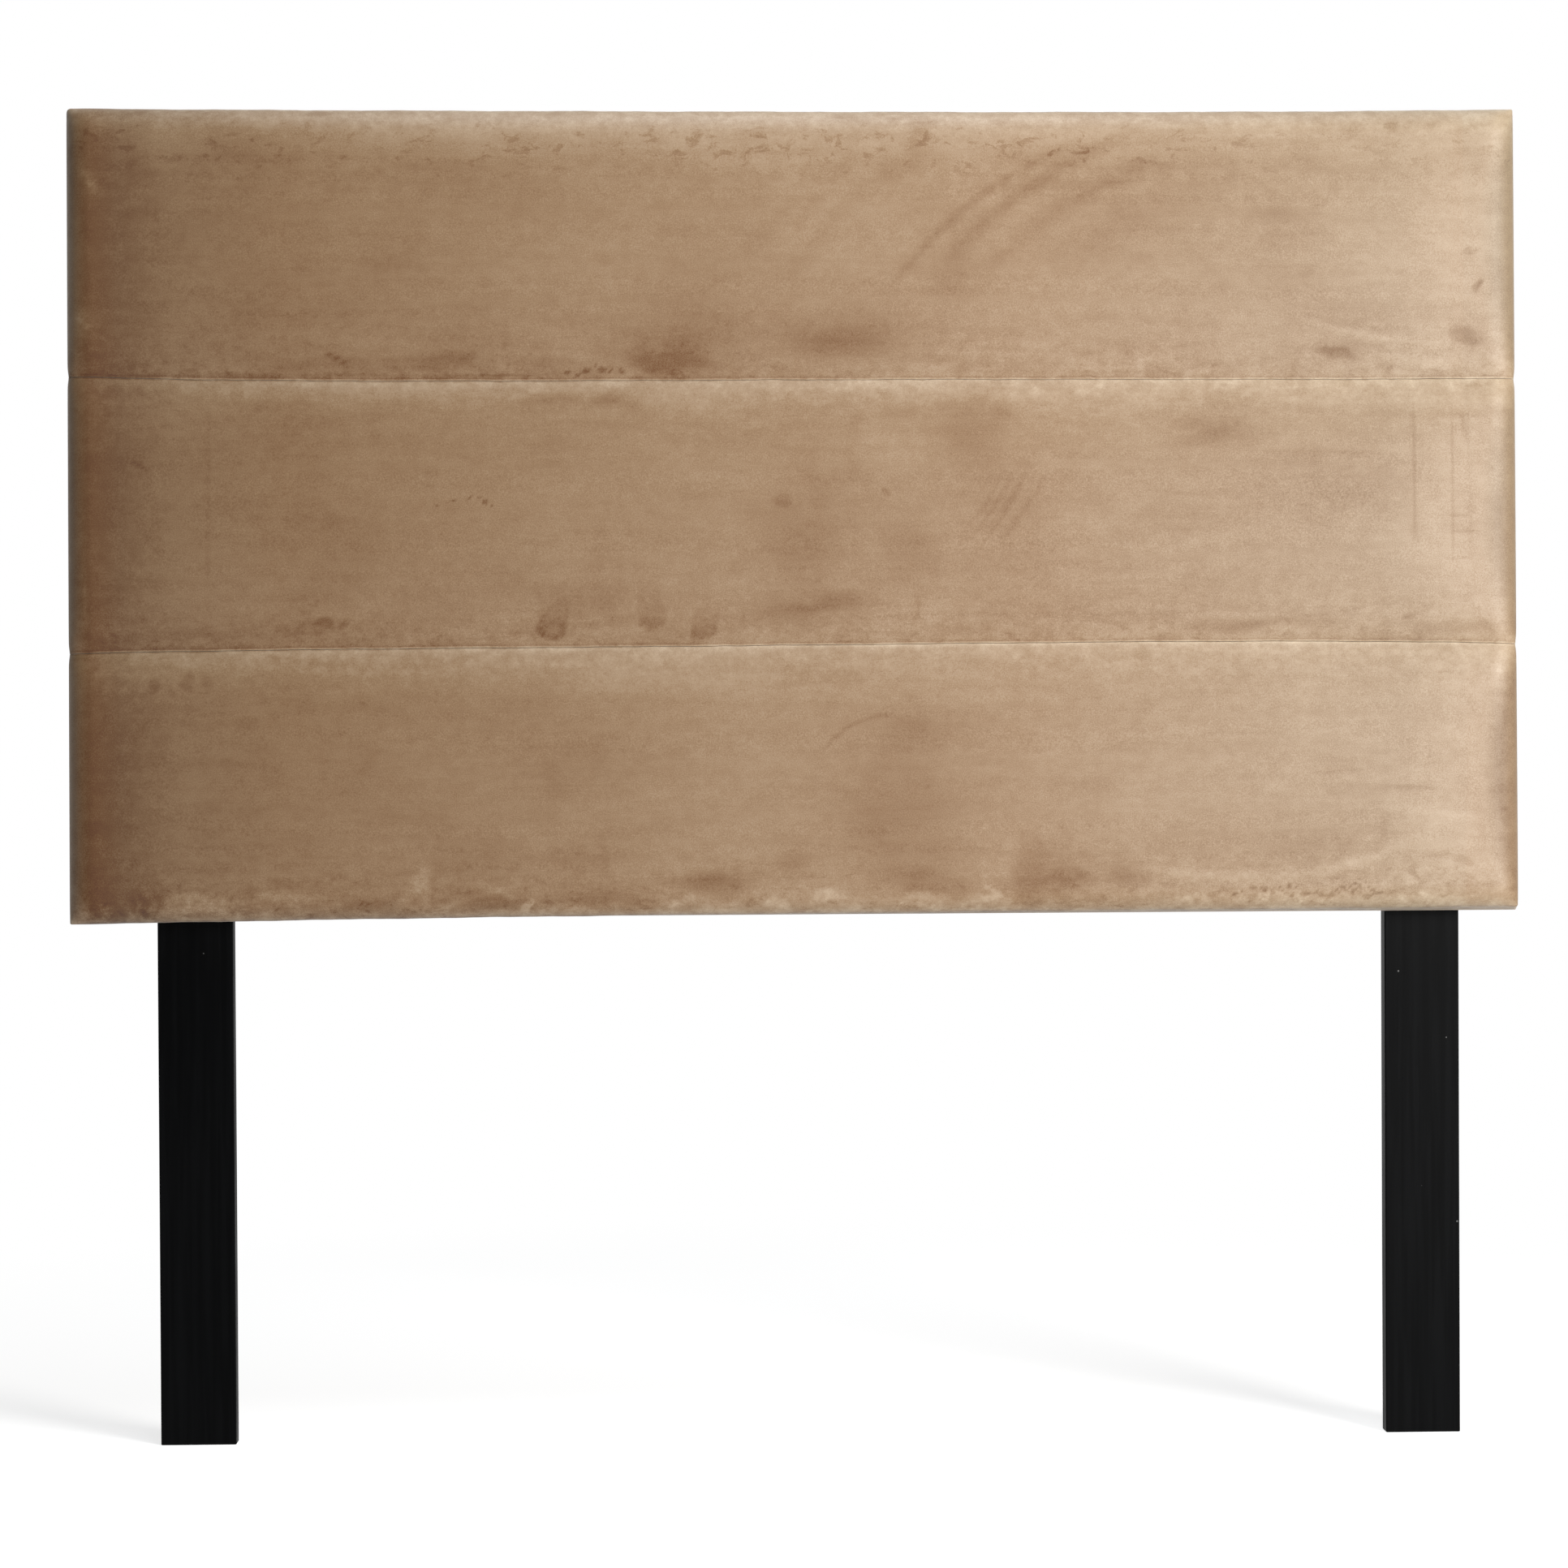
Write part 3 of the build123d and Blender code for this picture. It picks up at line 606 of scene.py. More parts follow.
# the same, light with a torn edge
LIGHT_MARKS = (
    (30, 612, 24, 12, 0.8), (142, 606, 34, 14, 0.7), (212, 608, 14, 14, 0.7), (320, 604, 30, 6, 0.5),
    (-299, 605, 8, 9, 0.9), (-422, 624, 34, 10, 50, 0.4), (-660, 606, 60, 14, 0.6),
    (-770, 600, 24, 8, 0.5), (-560, 612, 60, 10, 0.5), (500, 606, 110, 8, 0.5), (700, 604, 70, 10, 0.5),
    (-20, 602, 20, 8, 0.6), (-130, 606, 30, 8, 0.5), (-250, 602, 30, 6, 0.5), (-772, 1402, 7, 18, 20, 0.4),
    (-782, 1248, 8, 12, 20, 0.5),
)
# centre x, height of the tip, half width, length of the drag above it, strength: fingers pressed in
FINGERS = (
    (-267, 895, 18, 62, -0.28), (-160, 907, 16, 62, -0.15), (-100, 896, 16, 38, -0.25),
)
# x and z of start, bend and end, then half width and strength: strokes through the nap
STROKES = (
    (104, 1276, 180, 1388, 318, 1443, 5.5, -0.13), (172, 1316, 246, 1394, 360, 1447, 8.0, -0.14),
    (211, 1297, 296, 1392, 410, 1420, 12.0, -0.11), (395, 1416, 440, 1426, 490, 1422, 12.0, -0.05),
    (326, 1325, 390, 1382, 493, 1403, 16.0, -0.055), (-8, 1336, 34, 1386, 70, 1434, 7.0, -0.06),
    (-8, 1286, 42, 1370, 120, 1420, 9.0, -0.06), (-60, 1310, -10, 1370, 40, 1410, 8.0, -0.04),
    (-515, 1211, -503, 1207, -490, 1197, 2.2, -0.22), (-318, 1250, -312, 1230, -322, 1210, 3.0, -0.07),
    (-417, 1459, -385, 1463, -352, 1470, 1.8, -0.08), (560, 1247, 630, 1222, 722, 1219, 3.4, 0.09),
    (566, 1250, 634, 1230, 722, 1228, 6.0, -0.05), (-730, 1188, -600, 1187, -260, 1187, 1.6, -0.10),
    (80, 1152, 44, 1112, 72, 1074, 8.0, -0.06), (515, 1099, 580, 1100, 650, 1097, 3.0, -0.09),
    (683, 1160, 684, 1090, 685, 1000, 1.8, -0.13), (726, 1150, 727, 1060, 727, 975, 1.6, -0.11),
    (745, 1148, 747, 1060, 746, 978, 1.6, -0.08), (737, 1144, 740, 1126, 742, 1112, 2.4, -0.16),
    (722, 1029, 738, 1029, 746, 1030, 1.6, -0.10), (722, 1010, 738, 1011, 752, 1010, 1.6, -0.10),
    (722, 982, 738, 980, 752, 984, 1.6, -0.10), (-643, 1153, -643, 1050, -644, 958, 1.8, -0.07),
    (133, 940, 139, 925, 128, 914, 2.6, -0.12), (28, 770, 56, 810, 103, 811, 2.4, -0.13),
    (566, 744, 600, 748, 627, 746, 2.2, -0.10), (636, 727, 670, 731, 711, 726, 2.2, -0.10),
    (457, 784, 470, 780, 483, 764, 2.4, -0.10), (452, 790, 500, 790, 540, 788, 2.4, -0.07),
    (382, 641, 560, 614, 662, 662, 6.0, 0.16), (662, 664, 700, 684, 740, 700, 6.0, 0.06),
    (640, 706, 700, 706, 760, 690, 4.0, 0.05), (648, 700, 656, 672, 636, 652, 5.0, -0.08),
    (-778, 960, -777, 942, -778, 923, 1.6, 0.16), (470, 905, 560, 915, 640, 930, 3.0, -0.08),
    (640, 900, 668, 915, 716, 934, 5.0, -0.07), (-394, 600, -350, 616, -306, 626, 3.0, 0.14),
    (-360, 640, -336, 620, -306, 612, 3.0, 0.12), (-412, 655, -404, 625, -408, 603, 4.0, 0.12),
    (232, 690, 228, 648, 236, 606, 5.0, 0.05), (270, 690, 276, 650, 330, 612, 3.0, 0.05),
    (688, 652, 714, 654, 744, 652, 2.2, -0.08), (-460, 1182, -300, 1189, -200, 1188, 1.8, -0.08),
)
# oblique scratches: start of the first, step to the next and its waver, places of bend and end from the start
OBLIQUE_START, OBLIQUE_STEP, OBLIQUE_WAVER, OBLIQUE_COUNT = (276, 1076), -9, -12, 7
OBLIQUE_BEND, OBLIQUE_END = (-20, -41), (-50, -76)
OBLIQUE_HALF_WIDTH, OBLIQUE_STRENGTH = 2.6, -0.06
# start x, height, count, spacing, tilt in degrees, radius: rows of small nicks
DOT_ROWS = (
    (-254, 1192, 7, 10, 20, 4.4), (-394, 1046, 3, 11, 20, 3.2), (-352, 1047, 4, 8, 60, 3.4),
    (480, 616, 12, 8.5, 0, 3.4), (560, 611, 12, 7.5, 0, 3.6), (600, 617, 6, 9, 0, 3.4),
    (500, 607, 9, 12, 0, 3.0),
)
NICK_DEPTH = -0.10
# how far a nick is off its place, in radii, how much its size varies, and its tilt in degrees
NICK_OFF, NICK_VARIES, NICK_TURN = (0.5, 0.9), 0.4, 50
# how fast a smudge fades, and how far past its outline a torn mark and a nick reach
SMUDGE_FADE, TORN_REACH, NICK_REACH = 1.3, 1.25, 1.4
# a stroke: its steps, its reach in half widths, and how it thins out at its ends
STROKE_STEPS, STROKE_REACH, STROKE_TAPER, STROKE_TIP = 24, 3, 6, 0.25
# a finger: how round its tip is, how sharp its sides are there, how much they blur upwards, how it fades
FINGER_ROUND, FINGER_SHARP, FINGER_BLUR, FINGER_FADE = 0.8, 5, 3.6, 1.3
# a torn line: shares of its coarse and fine tear, and how much finer the second is
TEAR_SHARES, FINER_TEAR = (0.65, 0.35), 3.7
# how far the places are shifted along x and z, in broad and in fine waves
WARP_X, WARP_Z = (4.5, 1.6), (2.6, 1.1)


def patch_field(x, z, centre_x, centre_z, half_width, half_height, tilt=0):
    """Squared distance from a patch's centre, 1 on its outline."""
    turn = radians(tilt)
    across = ((x - centre_x) * cos(turn) + (z - centre_z) * sin(turn)) / half_width
    along = ((z - centre_z) * cos(turn) - (x - centre_x) * sin(turn)) / half_height
    return across ** 2 + along ** 2


def stroke_field(x, z, start_x, start_z, bend_x, bend_z, end_x, end_z, half_width):
    """A curved stroke, 1 on its middle line and thinning out at its ends."""
    field = np.zeros_like(x)
    share = np.linspace(0, 1, STROKE_STEPS + 1)
    first, middle, last = (1 - share) ** 2, 2 * share * (1 - share), share ** 2
    curve_x = first * start_x + middle * bend_x + last * end_x
    curve_z = first * start_z + middle * bend_z + last * end_z
    reach = STROKE_REACH * half_width
    near = (x > curve_x.min() - reach) & (x < curve_x.max() + reach)
    near &= (z > curve_z.min() - reach) & (z < curve_z.max() + reach)
    best = np.full(near.sum(), np.inf)
    along = np.zeros_like(best)
    for index in range(STROKE_STEPS):
        step_x, step_z = curve_x[index + 1] - curve_x[index], curve_z[index + 1] - curve_z[index]
        from_x, from_z = x[near] - curve_x[index], z[near] - curve_z[index]
        on_step = unit((from_x * step_x + from_z * step_z) / (step_x ** 2 + step_z ** 2))
        distance = np.hypot(from_x - on_step * step_x, from_z - on_step * step_z)
        closer = distance < best
        best = np.where(closer, distance, best)
        along = np.where(closer, (index + on_step) / STROKE_STEPS, along)
    taper = unit(np.minimum(along, 1 - along) * STROKE_TAPER + STROKE_TIP)
    field[near] = np.exp(-(best / half_width) ** 2) * taper
    return field


def ragged(x, seed, pitch, low, high):
    """A torn line along x: random heights between low and high, with a finer tear on top."""
    drawn = np.random.default_rng(seed)
    total = np.zeros_like(x)
    for share, spacing in zip(TEAR_SHARES, (pitch, pitch / FINER_TEAR)):
        knots = np.arange(-1000, 1000 + spacing, spacing)
        total += share * np.interp(x, knots, drawn.random(len(knots)))
    return low + (high - low) * total


def band(distance, depth):
    """1 at a line and fading to 0 at depth, on one side only."""
    return np.where(distance >= -2, unit(1 - distance / np.maximum(depth, 0.5)), 0.0)


def warp(x, z):
    """Shifts the places a little, so that no mark has a clean outline."""
    moved_x = x + WARP_X[0] * np.sin(z / 8.3 + 1.1 * np.sin(x / 31)) + WARP_X[1] * np.sin(z / 2.9 + x / 17)
    moved_z = z + WARP_Z[0] * np.sin(x / 12.7 + 0.9 * np.sin(z / 23)) + WARP_Z[1] * np.sin(x / 4.1 - z / 13)
    return moved_x, moved_z


def raise_to(nap, name, least):
    nap[name] = np.maximum(nap[name], least)


def add_patches(nap, x, z, warped):
    """Smudges, and marks with a torn edge."""
    for *shape, strength in SOFT_PATCHES:
        nap["soft"] += strength * np.exp(-SMUDGE_FADE * patch_field(x, z, *shape))
    for name, marks in (("dark", DARK_MARKS), ("light", LIGHT_MARKS)):
        for *shape, solid in marks:
            raise_to(nap, name, solid * unit(TORN_REACH - patch_field(*warped, *shape)))


def add_fingers(nap, x, z, warped):
    """Round tips of fingers, with the drag above them fading and blurring upwards."""
    for centre_x, tip, half_width, length, strength in FINGERS:
        across = ((x + warped[0]) / 2 - centre_x) / half_width
        base = tip + half_width * FINGER_ROUND * (1 - np.sqrt(unit(1 - across ** 2)))
        rise = unit((z - base) / length)
        sides = unit((1.05 - np.abs(across)) * (FINGER_SHARP - FINGER_BLUR * rise))
        inside = sides * unit((z - base) / 3 + 0.5)
        nap["soft"] += strength * inside * (1 - rise) ** FINGER_FADE


def oblique_strokes():
    """A row of short oblique scratches, each a little off its step."""
    for index in range(OBLIQUE_COUNT):
        start = np.add(OBLIQUE_START, (OBLIQUE_STEP * index, OBLIQUE_WAVER * sin(2.4 * index)))
        strength = OBLIQUE_STRENGTH * (1 + 0.5 * sin(5 * index))
        yield *start, *(start + OBLIQUE_BEND), *(start + OBLIQUE_END), OBLIQUE_HALF_WIDTH, strength


def add_nicks(nap, warped):
    """Rows of small nicks, each a little off its place, size and tilt."""
    for start_x, centre_z, count, spacing, tilt, radius in DOT_ROWS:
        for index in range(count):
            along = start_x + spacing * index + radius * NICK_OFF[0] * sin(7.3 * index)
            up = centre_z + radius * NICK_OFF[1] * cos(5.1 * index + start_x)
            size = radius * (1 + NICK_VARIES * sin(3.7 * index))
            turned = tilt + NICK_TURN * sin(2.9 * index)
            nick = unit(NICK_REACH - patch_field(*warped, along, up, size, size * 0.6, turned))
            raise_to(nap, "dark", nick)
            nap["soft"] += NICK_DEPTH * nick


def add_painted_end_shading(nap, x, z, heights):
    """Painted shade towards both ends, where the padding turns from the light, with painted sheen and a
    little painted highlight; at the right end the painted band bulges with each strip.
    """
    zone = (z > heights[1]).astype(int) + (z > heights[2])
    low, high = np.choose(zone, heights[:3]), np.choose(zone, heights[1:])
    flat = 1 - np.sqrt(np.sin(pi * unit((z - low) / (high - low))))
    pushed = x - END_PUSH * flat * (x > 0)
    edges = (LEVELS[0] / MM, LEVELS[-1] / MM)
    # painted light and shade at the ends, then painted sheen
    nap["soft"] += END_LIFT * flat * np.interp(x, *END_LIFT_REACH)
    nap["soft"] += np.interp(pushed, *PAINTED_END_SHADING) * np.where(x > RIGHT_BAND, ragged(z, *END_TEAR), 1.0)
    nap["soft"] += np.interp(x, *RIGHT_END) * np.interp(z, edges, RIGHT_SHADING_RISE)
    sheen_rise = np.where(x > RIGHT_BAND, np.interp(z, edges, RIGHT_SHEEN_RISE), 1.0)
    nap["grey"] += np.interp(pushed, *PAINTED_END_SHEEN) * sheen_rise


def add_bands(nap, x, z, heights):
    """Torn bands along the seams and edges, and the row of flecks below the top edge."""
    for line, side, name, strength, curve, *tear in BANDS:
        share = strength * np.interp(x, *curve) * band(side * (z - heights[line]), ragged(x, *tear))
        if name in ("light", "flecks"):
            raise_to(nap, name, share)
        else:
            nap[name] += share
    flecked = unit(1 - ((heights[3] - z - FLECKS_DEPTH) / ragged(x, *FLECKS_TEAR)) ** 2)
    raise_to(nap, "dark", FLECKS_DARK * flecked)
    raise_to(nap, "flecks", np.interp(x, *FLECKS_SHARE) * flecked)


def nap_and_shading_fields(points):
    """Soft, light, dark, streaky and flecked nap at each point of the cover, with painted shade, highlight
    and sheen among them.
    """
    x, z = points[:, 0] / MM, points[:, 2] / MM
    warped = warp(x, z)
    heights = [line_height(line, points[:, 0]) / MM for line in range(len(LEVELS))]
    nap = {name: np.zeros_like(x) for name in ("soft", "light", "dark", "streaky", "flecks", "grey")}
    nap["streaky"] += EVEN_STREAKS
    add_patches(nap, x, z, warped)
    add_fingers(nap, x, z, warped)
    for *shape, strength in (*STROKES, *oblique_strokes()):
        nap["soft"] += strength * stroke_field(x, z, *shape)
    add_nicks(nap, warped)
    add_painted_end_shading(nap, x, z, heights)
    add_bands(nap, x, z, heights)
    front = unit(1 - (points[:, 1] - EDGE_Y) / FRONT_FADE)
    return {f"nap_{name}": values * (1 if name == "grey" else front) for name, values in nap.items()}


# Sewn cover

class Builder:
    """Collects vertices and faces of one mesh."""

    def __init__(self):
        self.points = []
        self.faces = []

    def add(self, points):
        start = len(self.points)
        self.points.extend(map(tuple, points))
        return list(range(start, start + len(points)))

    def bridge(self, first, second):
        """Quads between two rows of vertex numbers."""
        for index in range(len(first) - 1):
            self.faces.append((first[index], first[index + 1], second[index + 1], second[index]))

    def lattice(self, points):
        """A grid of points joined by quads; gives the vertex numbers row by row."""
        rows = [self.add(row) for row in points]
        for first, second in zip(rows, rows[1:]):
            self.bridge(first, second)
        return rows


def outline_of(rows):
    """The outer vertex numbers of a grid, once round."""
    left = [row[0] for row in rows]
    right = [row[-1] for row in rows]
    return left + rows[-1][1:-1] + right[::-1] + rows[0][1:-1][::-1]


def closed_layer(front, back):
    """Two grids of points, joined round their rims."""
    builder = Builder()
    front_rows = builder.lattice(front)
    back_rows = builder.lattice(back[:, ::-1])
    rim = outline_of(front_rows)
    back_rim = outline_of([row[::-1] for row in back_rows])
    builder.bridge(rim + rim[:1], back_rim + back_rim[:1])
    return builder


def held_cloth(strip):
    """A strip as cloth that is held at its edges and seams: its object, points, columns and rows."""
    columns, rows = grid(strip, *CLOTH_MESH)
    points = front_points(strip, columns, rows)
    builder = Builder()
    builder.lattice(points)
    mesh = bpy.data.meshes.new("settling")
    mesh.from_pydata(builder.points, [], builder.faces)
    sheet = add_object("settling", mesh)
    group = sheet.vertex_groups.new(name="held")
    height = LEVELS[strip + 1] - LEVELS[strip]
    for number, (row, x) in enumerate((row, x) for row in rows for x in columns):
        below = row if strip == 0 else HELD_WIDTH
        above = height - row if strip == LAST else HELD_WIDTH
        from_edge = min(HALF_WIDTH - abs(x), below, above)
        at_border = row in (rows[0], rows[-1]) or x in (columns[0], columns[-1])
        group.add([number], 1.0 if at_border else max(0.0, 1 - from_edge / HELD_WIDTH), "REPLACE")
    cloth = sheet.modifiers.new("cloth", "CLOTH").settings
    cloth.vertex_group_mass = group.name
    for name, value in CLOTH_SETTINGS.items():
        setattr(cloth, name, value)
    cloth.effector_weights.gravity = 0
    return sheet, points, columns, rows


def settle_cloth():
    """Lets each strip swell and wrinkle as cloth held at its edges; gives how far its points move."""
    held = [held_cloth(strip) for strip in range(len(STRIPS))]
    for frame_number in range(1, CLOTH_FRAMES + 1):
        scene.frame_set(frame_number)
    settled = []
    for sheet, points, columns, rows in held:
        evaluated = sheet.evaluated_get(bpy.context.evaluated_depsgraph_get())
        flat = np.empty(points.size)
        evaluated.data.vertices.foreach_get("co", flat)
        moved = flat.reshape(points.shape) - points
        smooth = moved.copy()
        for _ in range(SMOOTHING_PASSES):
            smooth[:, 1:-1] = (smooth[:, :-2] + 2 * smooth[:, 1:-1] + smooth[:, 2:]) / 4
        moved = smooth + (moved - smooth) * KEPT_WRINKLES
        length = np.linalg.norm(moved, axis=-1, keepdims=True) + 1e-12
        settled.append((moved / length * CLOTH_CAP * np.tanh(length / CLOTH_CAP), columns, rows))
    for sheet, *_ in held:
        mesh = sheet.data
        bpy.data.objects.remove(sheet)
        bpy.data.meshes.remove(mesh)
    scene.frame_set(1)
    return settled


def spread(places, old_places):
    """Weights that carry values from old places to other ones, straight between them."""
    return np.stack([np.interp(places, old_places, one) for one in np.eye(len(old_places))], axis=-1)


def settled_at(strip, columns, rows):
    """The cloth's movement on another grid of the same strip."""
    if not cloth_moves:
        return 0.0
    moved, old_columns, old_rows = cloth_moves[strip]
    along, up = spread(columns, old_columns), spread(rows, old_rows)
    return np.einsum("ia,abk,jb->ijk", up, moved, along, optimize=True)


def fold_row(front_row, inward, angle, depth=0.0):
    """A row of the fold at a seam: angle turns from the front into the seam plane."""
    row = front_row.copy()
    row[:, 2] += inward * FOLD_RADIUS * sin(angle)
    row[:, 1] += FOLD_RADIUS * (1 - cos(angle)) + depth
    return row


def wall_outline(outline):
    """Where the outline meets the frame's sides: never inside the frame."""
    moved = outline.copy()
    at_side = np.abs(outline[:, 0]) > HALF_WIDTH - WALL_REACH
    least = np.maximum(np.abs(outline[:, 0]), HALF_WIDTH - WALL_SLACK)
    moved[:, 0] = np.where(at_side, np.sign(outline[:, 0]) * least, outline[:, 0])
    at_top = outline[:, 2] > LEVELS[-1] - WALL_REACH
    at_bottom = outline[:, 2] < LEVELS[0] + WALL_REACH
    moved[:, 2] = np.where(at_top, np.maximum(outline[:, 2], LEVELS[-1] - WALL_SLACK), moved[:, 2])
    moved[:, 2] = np.where(at_bottom, np.minimum(outline[:, 2], LEVELS[0] + WALL_SLACK), moved[:, 2])
    return moved


def hem_target(points, distance):
    """Points of the outline moved in over the back by distance."""
    moved = points.copy()
    limit_x = HALF_WIDTH - distance
    moved[:, 0] = np.clip(points[:, 0], -limit_x, limit_x)
    moved[:, 2] = np.clip(points[:, 2], LEVELS[0] + distance, LEVELS[-1] - distance)
    return moved


def add_return(builder, numbers):
    """The cover's return: from the front's outline over the panel's side and round to the back hem."""
    outline = np.array([builder.points[number] for number in numbers])
    wall = wall_outline(outline)
    wall_end = HEM_BACK - HEM_SINK - BACK_ROUND
    rows = [numbers]
    for share in RETURN_SHARES:
        reach = min(1.0, share / RETURN_EASE)
        blend_in = reach * reach * (3 - 2 * reach)
        row = outline + (wall - outline) * blend_in
        row[:, 1] = outline[:, 1] + (wall_end - outline[:, 1]) * share
        rows.append(builder.add(row))
    for angle in TURN_STEPS:
        row = hem_target(wall, BACK_ROUND * (1 - cos(angle)))
        row[:, 1] = wall_end + BACK_ROUND * sin(angle)
        rows.append(builder.add(row))
    for distance in HEM_STEPS:
        row = hem_target(wall, distance)
        row[:, 1] = HEM_BACK - HEM_SINK
        rows.append(builder.add(row))
    for first, second in zip(rows, rows[1:]):
        builder.bridge(first, second)


def add_seam_folds(builder, front, rows, strip):
    """Folds the strip's cut edges in at its seams; gives the outline's vertex numbers up each side."""
    left, right = [row[0] for row in rows], [row[-1] for row in rows]
    for is_high in (False, True):
        if strip == (LAST if is_high else 0):
            continue
        inward = 1 if is_high else -1
        edge, previous = (front[-1], rows[-1]) if is_high else (front[0], rows[0])
        steps = [(angle, 0.0) for angle in TURN_STEPS]
        for angle, depth in steps + [(TURN_STEPS[-1], ALLOWANCE / 3), (TURN_STEPS[-1], ALLOWANCE)]:
            folded = builder.add(fold_row(edge, inward, angle, depth))
            lower, upper = (previous, folded) if is_high else (folded, previous)
            builder.bridge(lower, upper)
            previous = folded
            if depth == 0:
                left = left + [folded[0]] if is_high else [folded[0]] + left
                right = right + [folded[-1]] if is_high else [folded[-1]] + right
    return left, right


def build_cover(strip):
    """One strip of the velvet cover with its seam allowances, returns and hem, as one sheet."""
    columns, rows = grid(strip, *COVER_MESH)
    front = front_points(strip, columns, rows) + settled_at(strip, columns, rows)
    builder = Builder()
    numbers = builder.lattice(front)
    left, right = add_seam_folds(builder, front, numbers, strip)
    if strip == LAST:
        add_return(builder, left + numbers[-1][1:-1] + right[::-1])
    elif strip == 0:
        add_return(builder, right[::-1] + numbers[0][1:-1][::-1] + left)
    else:
        add_return(builder, left)
        add_return(builder, right[::-1])
    return builder


def build_wadding(strip):
    """The loft of wadding under a strip: its outer face, its inner face and the rim between them."""
    columns, rows = grid(strip, *LAYER_MESH)
    moved = settled_at(strip, columns, rows)
    outer = front_points(strip, columns, rows, LAYER_INSET, COVER_THICKNESS) + moved
    inner = front_points(strip, columns, rows, LAYER_INSET, FOAM_SINK) + moved
    inner[..., 1] += RIM_THICKNESS
    return closed_layer(outer, inner)


def build_foam(strip):
    """The foam pad under a strip, flat where it lies on the face board."""
    columns, rows = grid(strip, *LAYER_MESH)
    front = front_points(strip, columns, rows, LAYER_INSET, FOAM_SINK + RIM_THICKNESS)
    front += settled_at(strip, columns, rows)
    front[..., 1] += 2 * RIM_THICKNESS
    back = front.copy()
    back[..., 1] = BOARD_FRONT - RIM_THICKNESS / 4
    return closed_layer(front, back)


def mesh_object(name, builder, material, fields=None):
    """An object from a builder, with its nap and painted shading fields as attributes and its collapsed
    corners welded.
    """
    mesh = bpy.data.meshes.new(name)
    mesh.from_pydata(builder.points, [], builder.faces)
    for field_name, values in (fields or {}).items():
        mesh.attributes.new(field_name, "FLOAT", "POINT").data.foreach_set("value", values)
    work = bmesh.new()
    work.from_mesh(mesh)
    bmesh.ops.remove_doubles(work, verts=work.verts, dist=WELD_DISTANCE)
    work.to_mesh(mesh)
    work.free()
    mesh.shade_smooth()
    mesh.materials.append(material)
    made = add_object(name, mesh)
    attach(made, "root")
    return made


cloth_moves = settle_cloth()
velvet = velvet_material()
WADDING_COLOURS = (rgba(0.88, 0.88, 0.86), rgba(0.70, 0.70, 0.68))
FOAM_COLOURS = (rgba(0.86, 0.81, 0.60), rgba(0.62, 0.55, 0.36))
wadding = fibre_material("white_wadding", *WADDING_COLOURS, 240.0, 0.95, 0.8 * MM)
foam = fibre_material("cream_foam", *FOAM_COLOURS, 420.0, 0.9, 0.4 * MM)
for strip, strip_name in enumerate(STRIPS):
    builder = build_cover(strip)
    cover = mesh_object(f"{strip_name}_cover", builder, velvet, nap_and_shading_fields(np.array(builder.points)))
    thick = cover.modifiers.new("thickness", "SOLIDIFY")
    thick.thickness = CLOTH_THICKNESS
    thick.offset = -1
    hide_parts(f"{strip_name}_cover_panel")
    for layer, build, material in (("wadding", build_wadding, wadding), ("foam_pad", build_foam, foam)):
        made = mesh_object(f"{strip_name}_{layer}_soft", build(strip), material)
        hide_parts(f"{strip_name}_{layer}")


# Dust cover

DUST_LOW, DUST_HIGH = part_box("dust_cover")
DUST_THICKNESS = 0.9 * MM
DUST_COLUMNS, DUST_ROWS = 265, 147
DUST_RESTS = ("frame_top_rail", "frame_bottom_rail", "frame_left_stile", "frame_right_stile",
              "frame_centre_stile", "left_leg_batten", "right_leg_batten")
DUST_EASE = 70 * MM
DUST_SAG = 1.6 * MM
# size, length, direction and phase of the slack's waves
DUST_WAVES = ((0.7 * MM, 0.31, 1.1, 0.3), (0.5 * MM, 0.19, -0.6, 1.7), (0.35 * MM, 0.11, 0.4, 2.9))


def build_dust_cover():
    """The thin black sheet over the back: flat on the frame, slack between its uprights and rails."""
    columns = np.linspace(DUST_LOW.x, DUST_HIGH.x, DUST_COLUMNS)
    rows = np.linspace(DUST_LOW.z, DUST_HIGH.z, DUST_ROWS)
    x, z = np.meshgrid(columns, rows)
    free = np.ones_like(x)
    for name in DUST_RESTS:
        low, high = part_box(name)
        out_x = np.maximum(low.x - x, x - high.x)
        out_z = np.maximum(low.z - z, z - high.z)
        free = np.minimum(free, unit(np.maximum(out_x, out_z) / DUST_EASE))
    free = free * free * (3 - 2 * free)
    drape = sum(
        size * np.sin(tau * (x * cos(turn) + z * sin(turn)) / length + phase)
        for size, length, turn, phase in DUST_WAVES
    )
    outer_y = DUST_HIGH.y + free * (drape - DUST_SAG)
    inner = np.stack([x, outer_y - DUST_THICKNESS, z], axis=-1)
    return closed_layer(inner, np.stack([x, outer_y, z], axis=-1))


dust_sheet = mesh_object("dust_sheet", build_dust_cover(), nonwoven_material())
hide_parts("dust_cover")


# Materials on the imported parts

def dress(material, *names):
    """Gives CAD nodes a material."""
    for name in names:
        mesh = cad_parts[name].data
        mesh.materials.clear()
        mesh.materials.append(material)


dress(leg_material(), "left_leg", "right_leg")
dress(steel_material(), "frame_screws", "face_board_staples", "cover_staples", "dust_cover_staples",
      "leg_bolts", "leg_washers", "leg_t_nuts")
dress(hardboard_material(), "face_board")
PINE_LIGHT = rgba(0.62, 0.43, 0.24)
PINE_DARK = rgba(0.40, 0.24, 0.11)
dress(wood_material("pine_along_x", PINE_LIGHT, PINE_DARK, 0, 60.0), "frame_top_rail", "frame_bottom_rail")
dress(wood_material("pine_along_z", PINE_LIGHT, PINE_DARK, 2, 60.0), "frame_left_stile", "frame_right_stile",
      "frame_centre_stile", "left_leg_batten", "right_leg_batten")


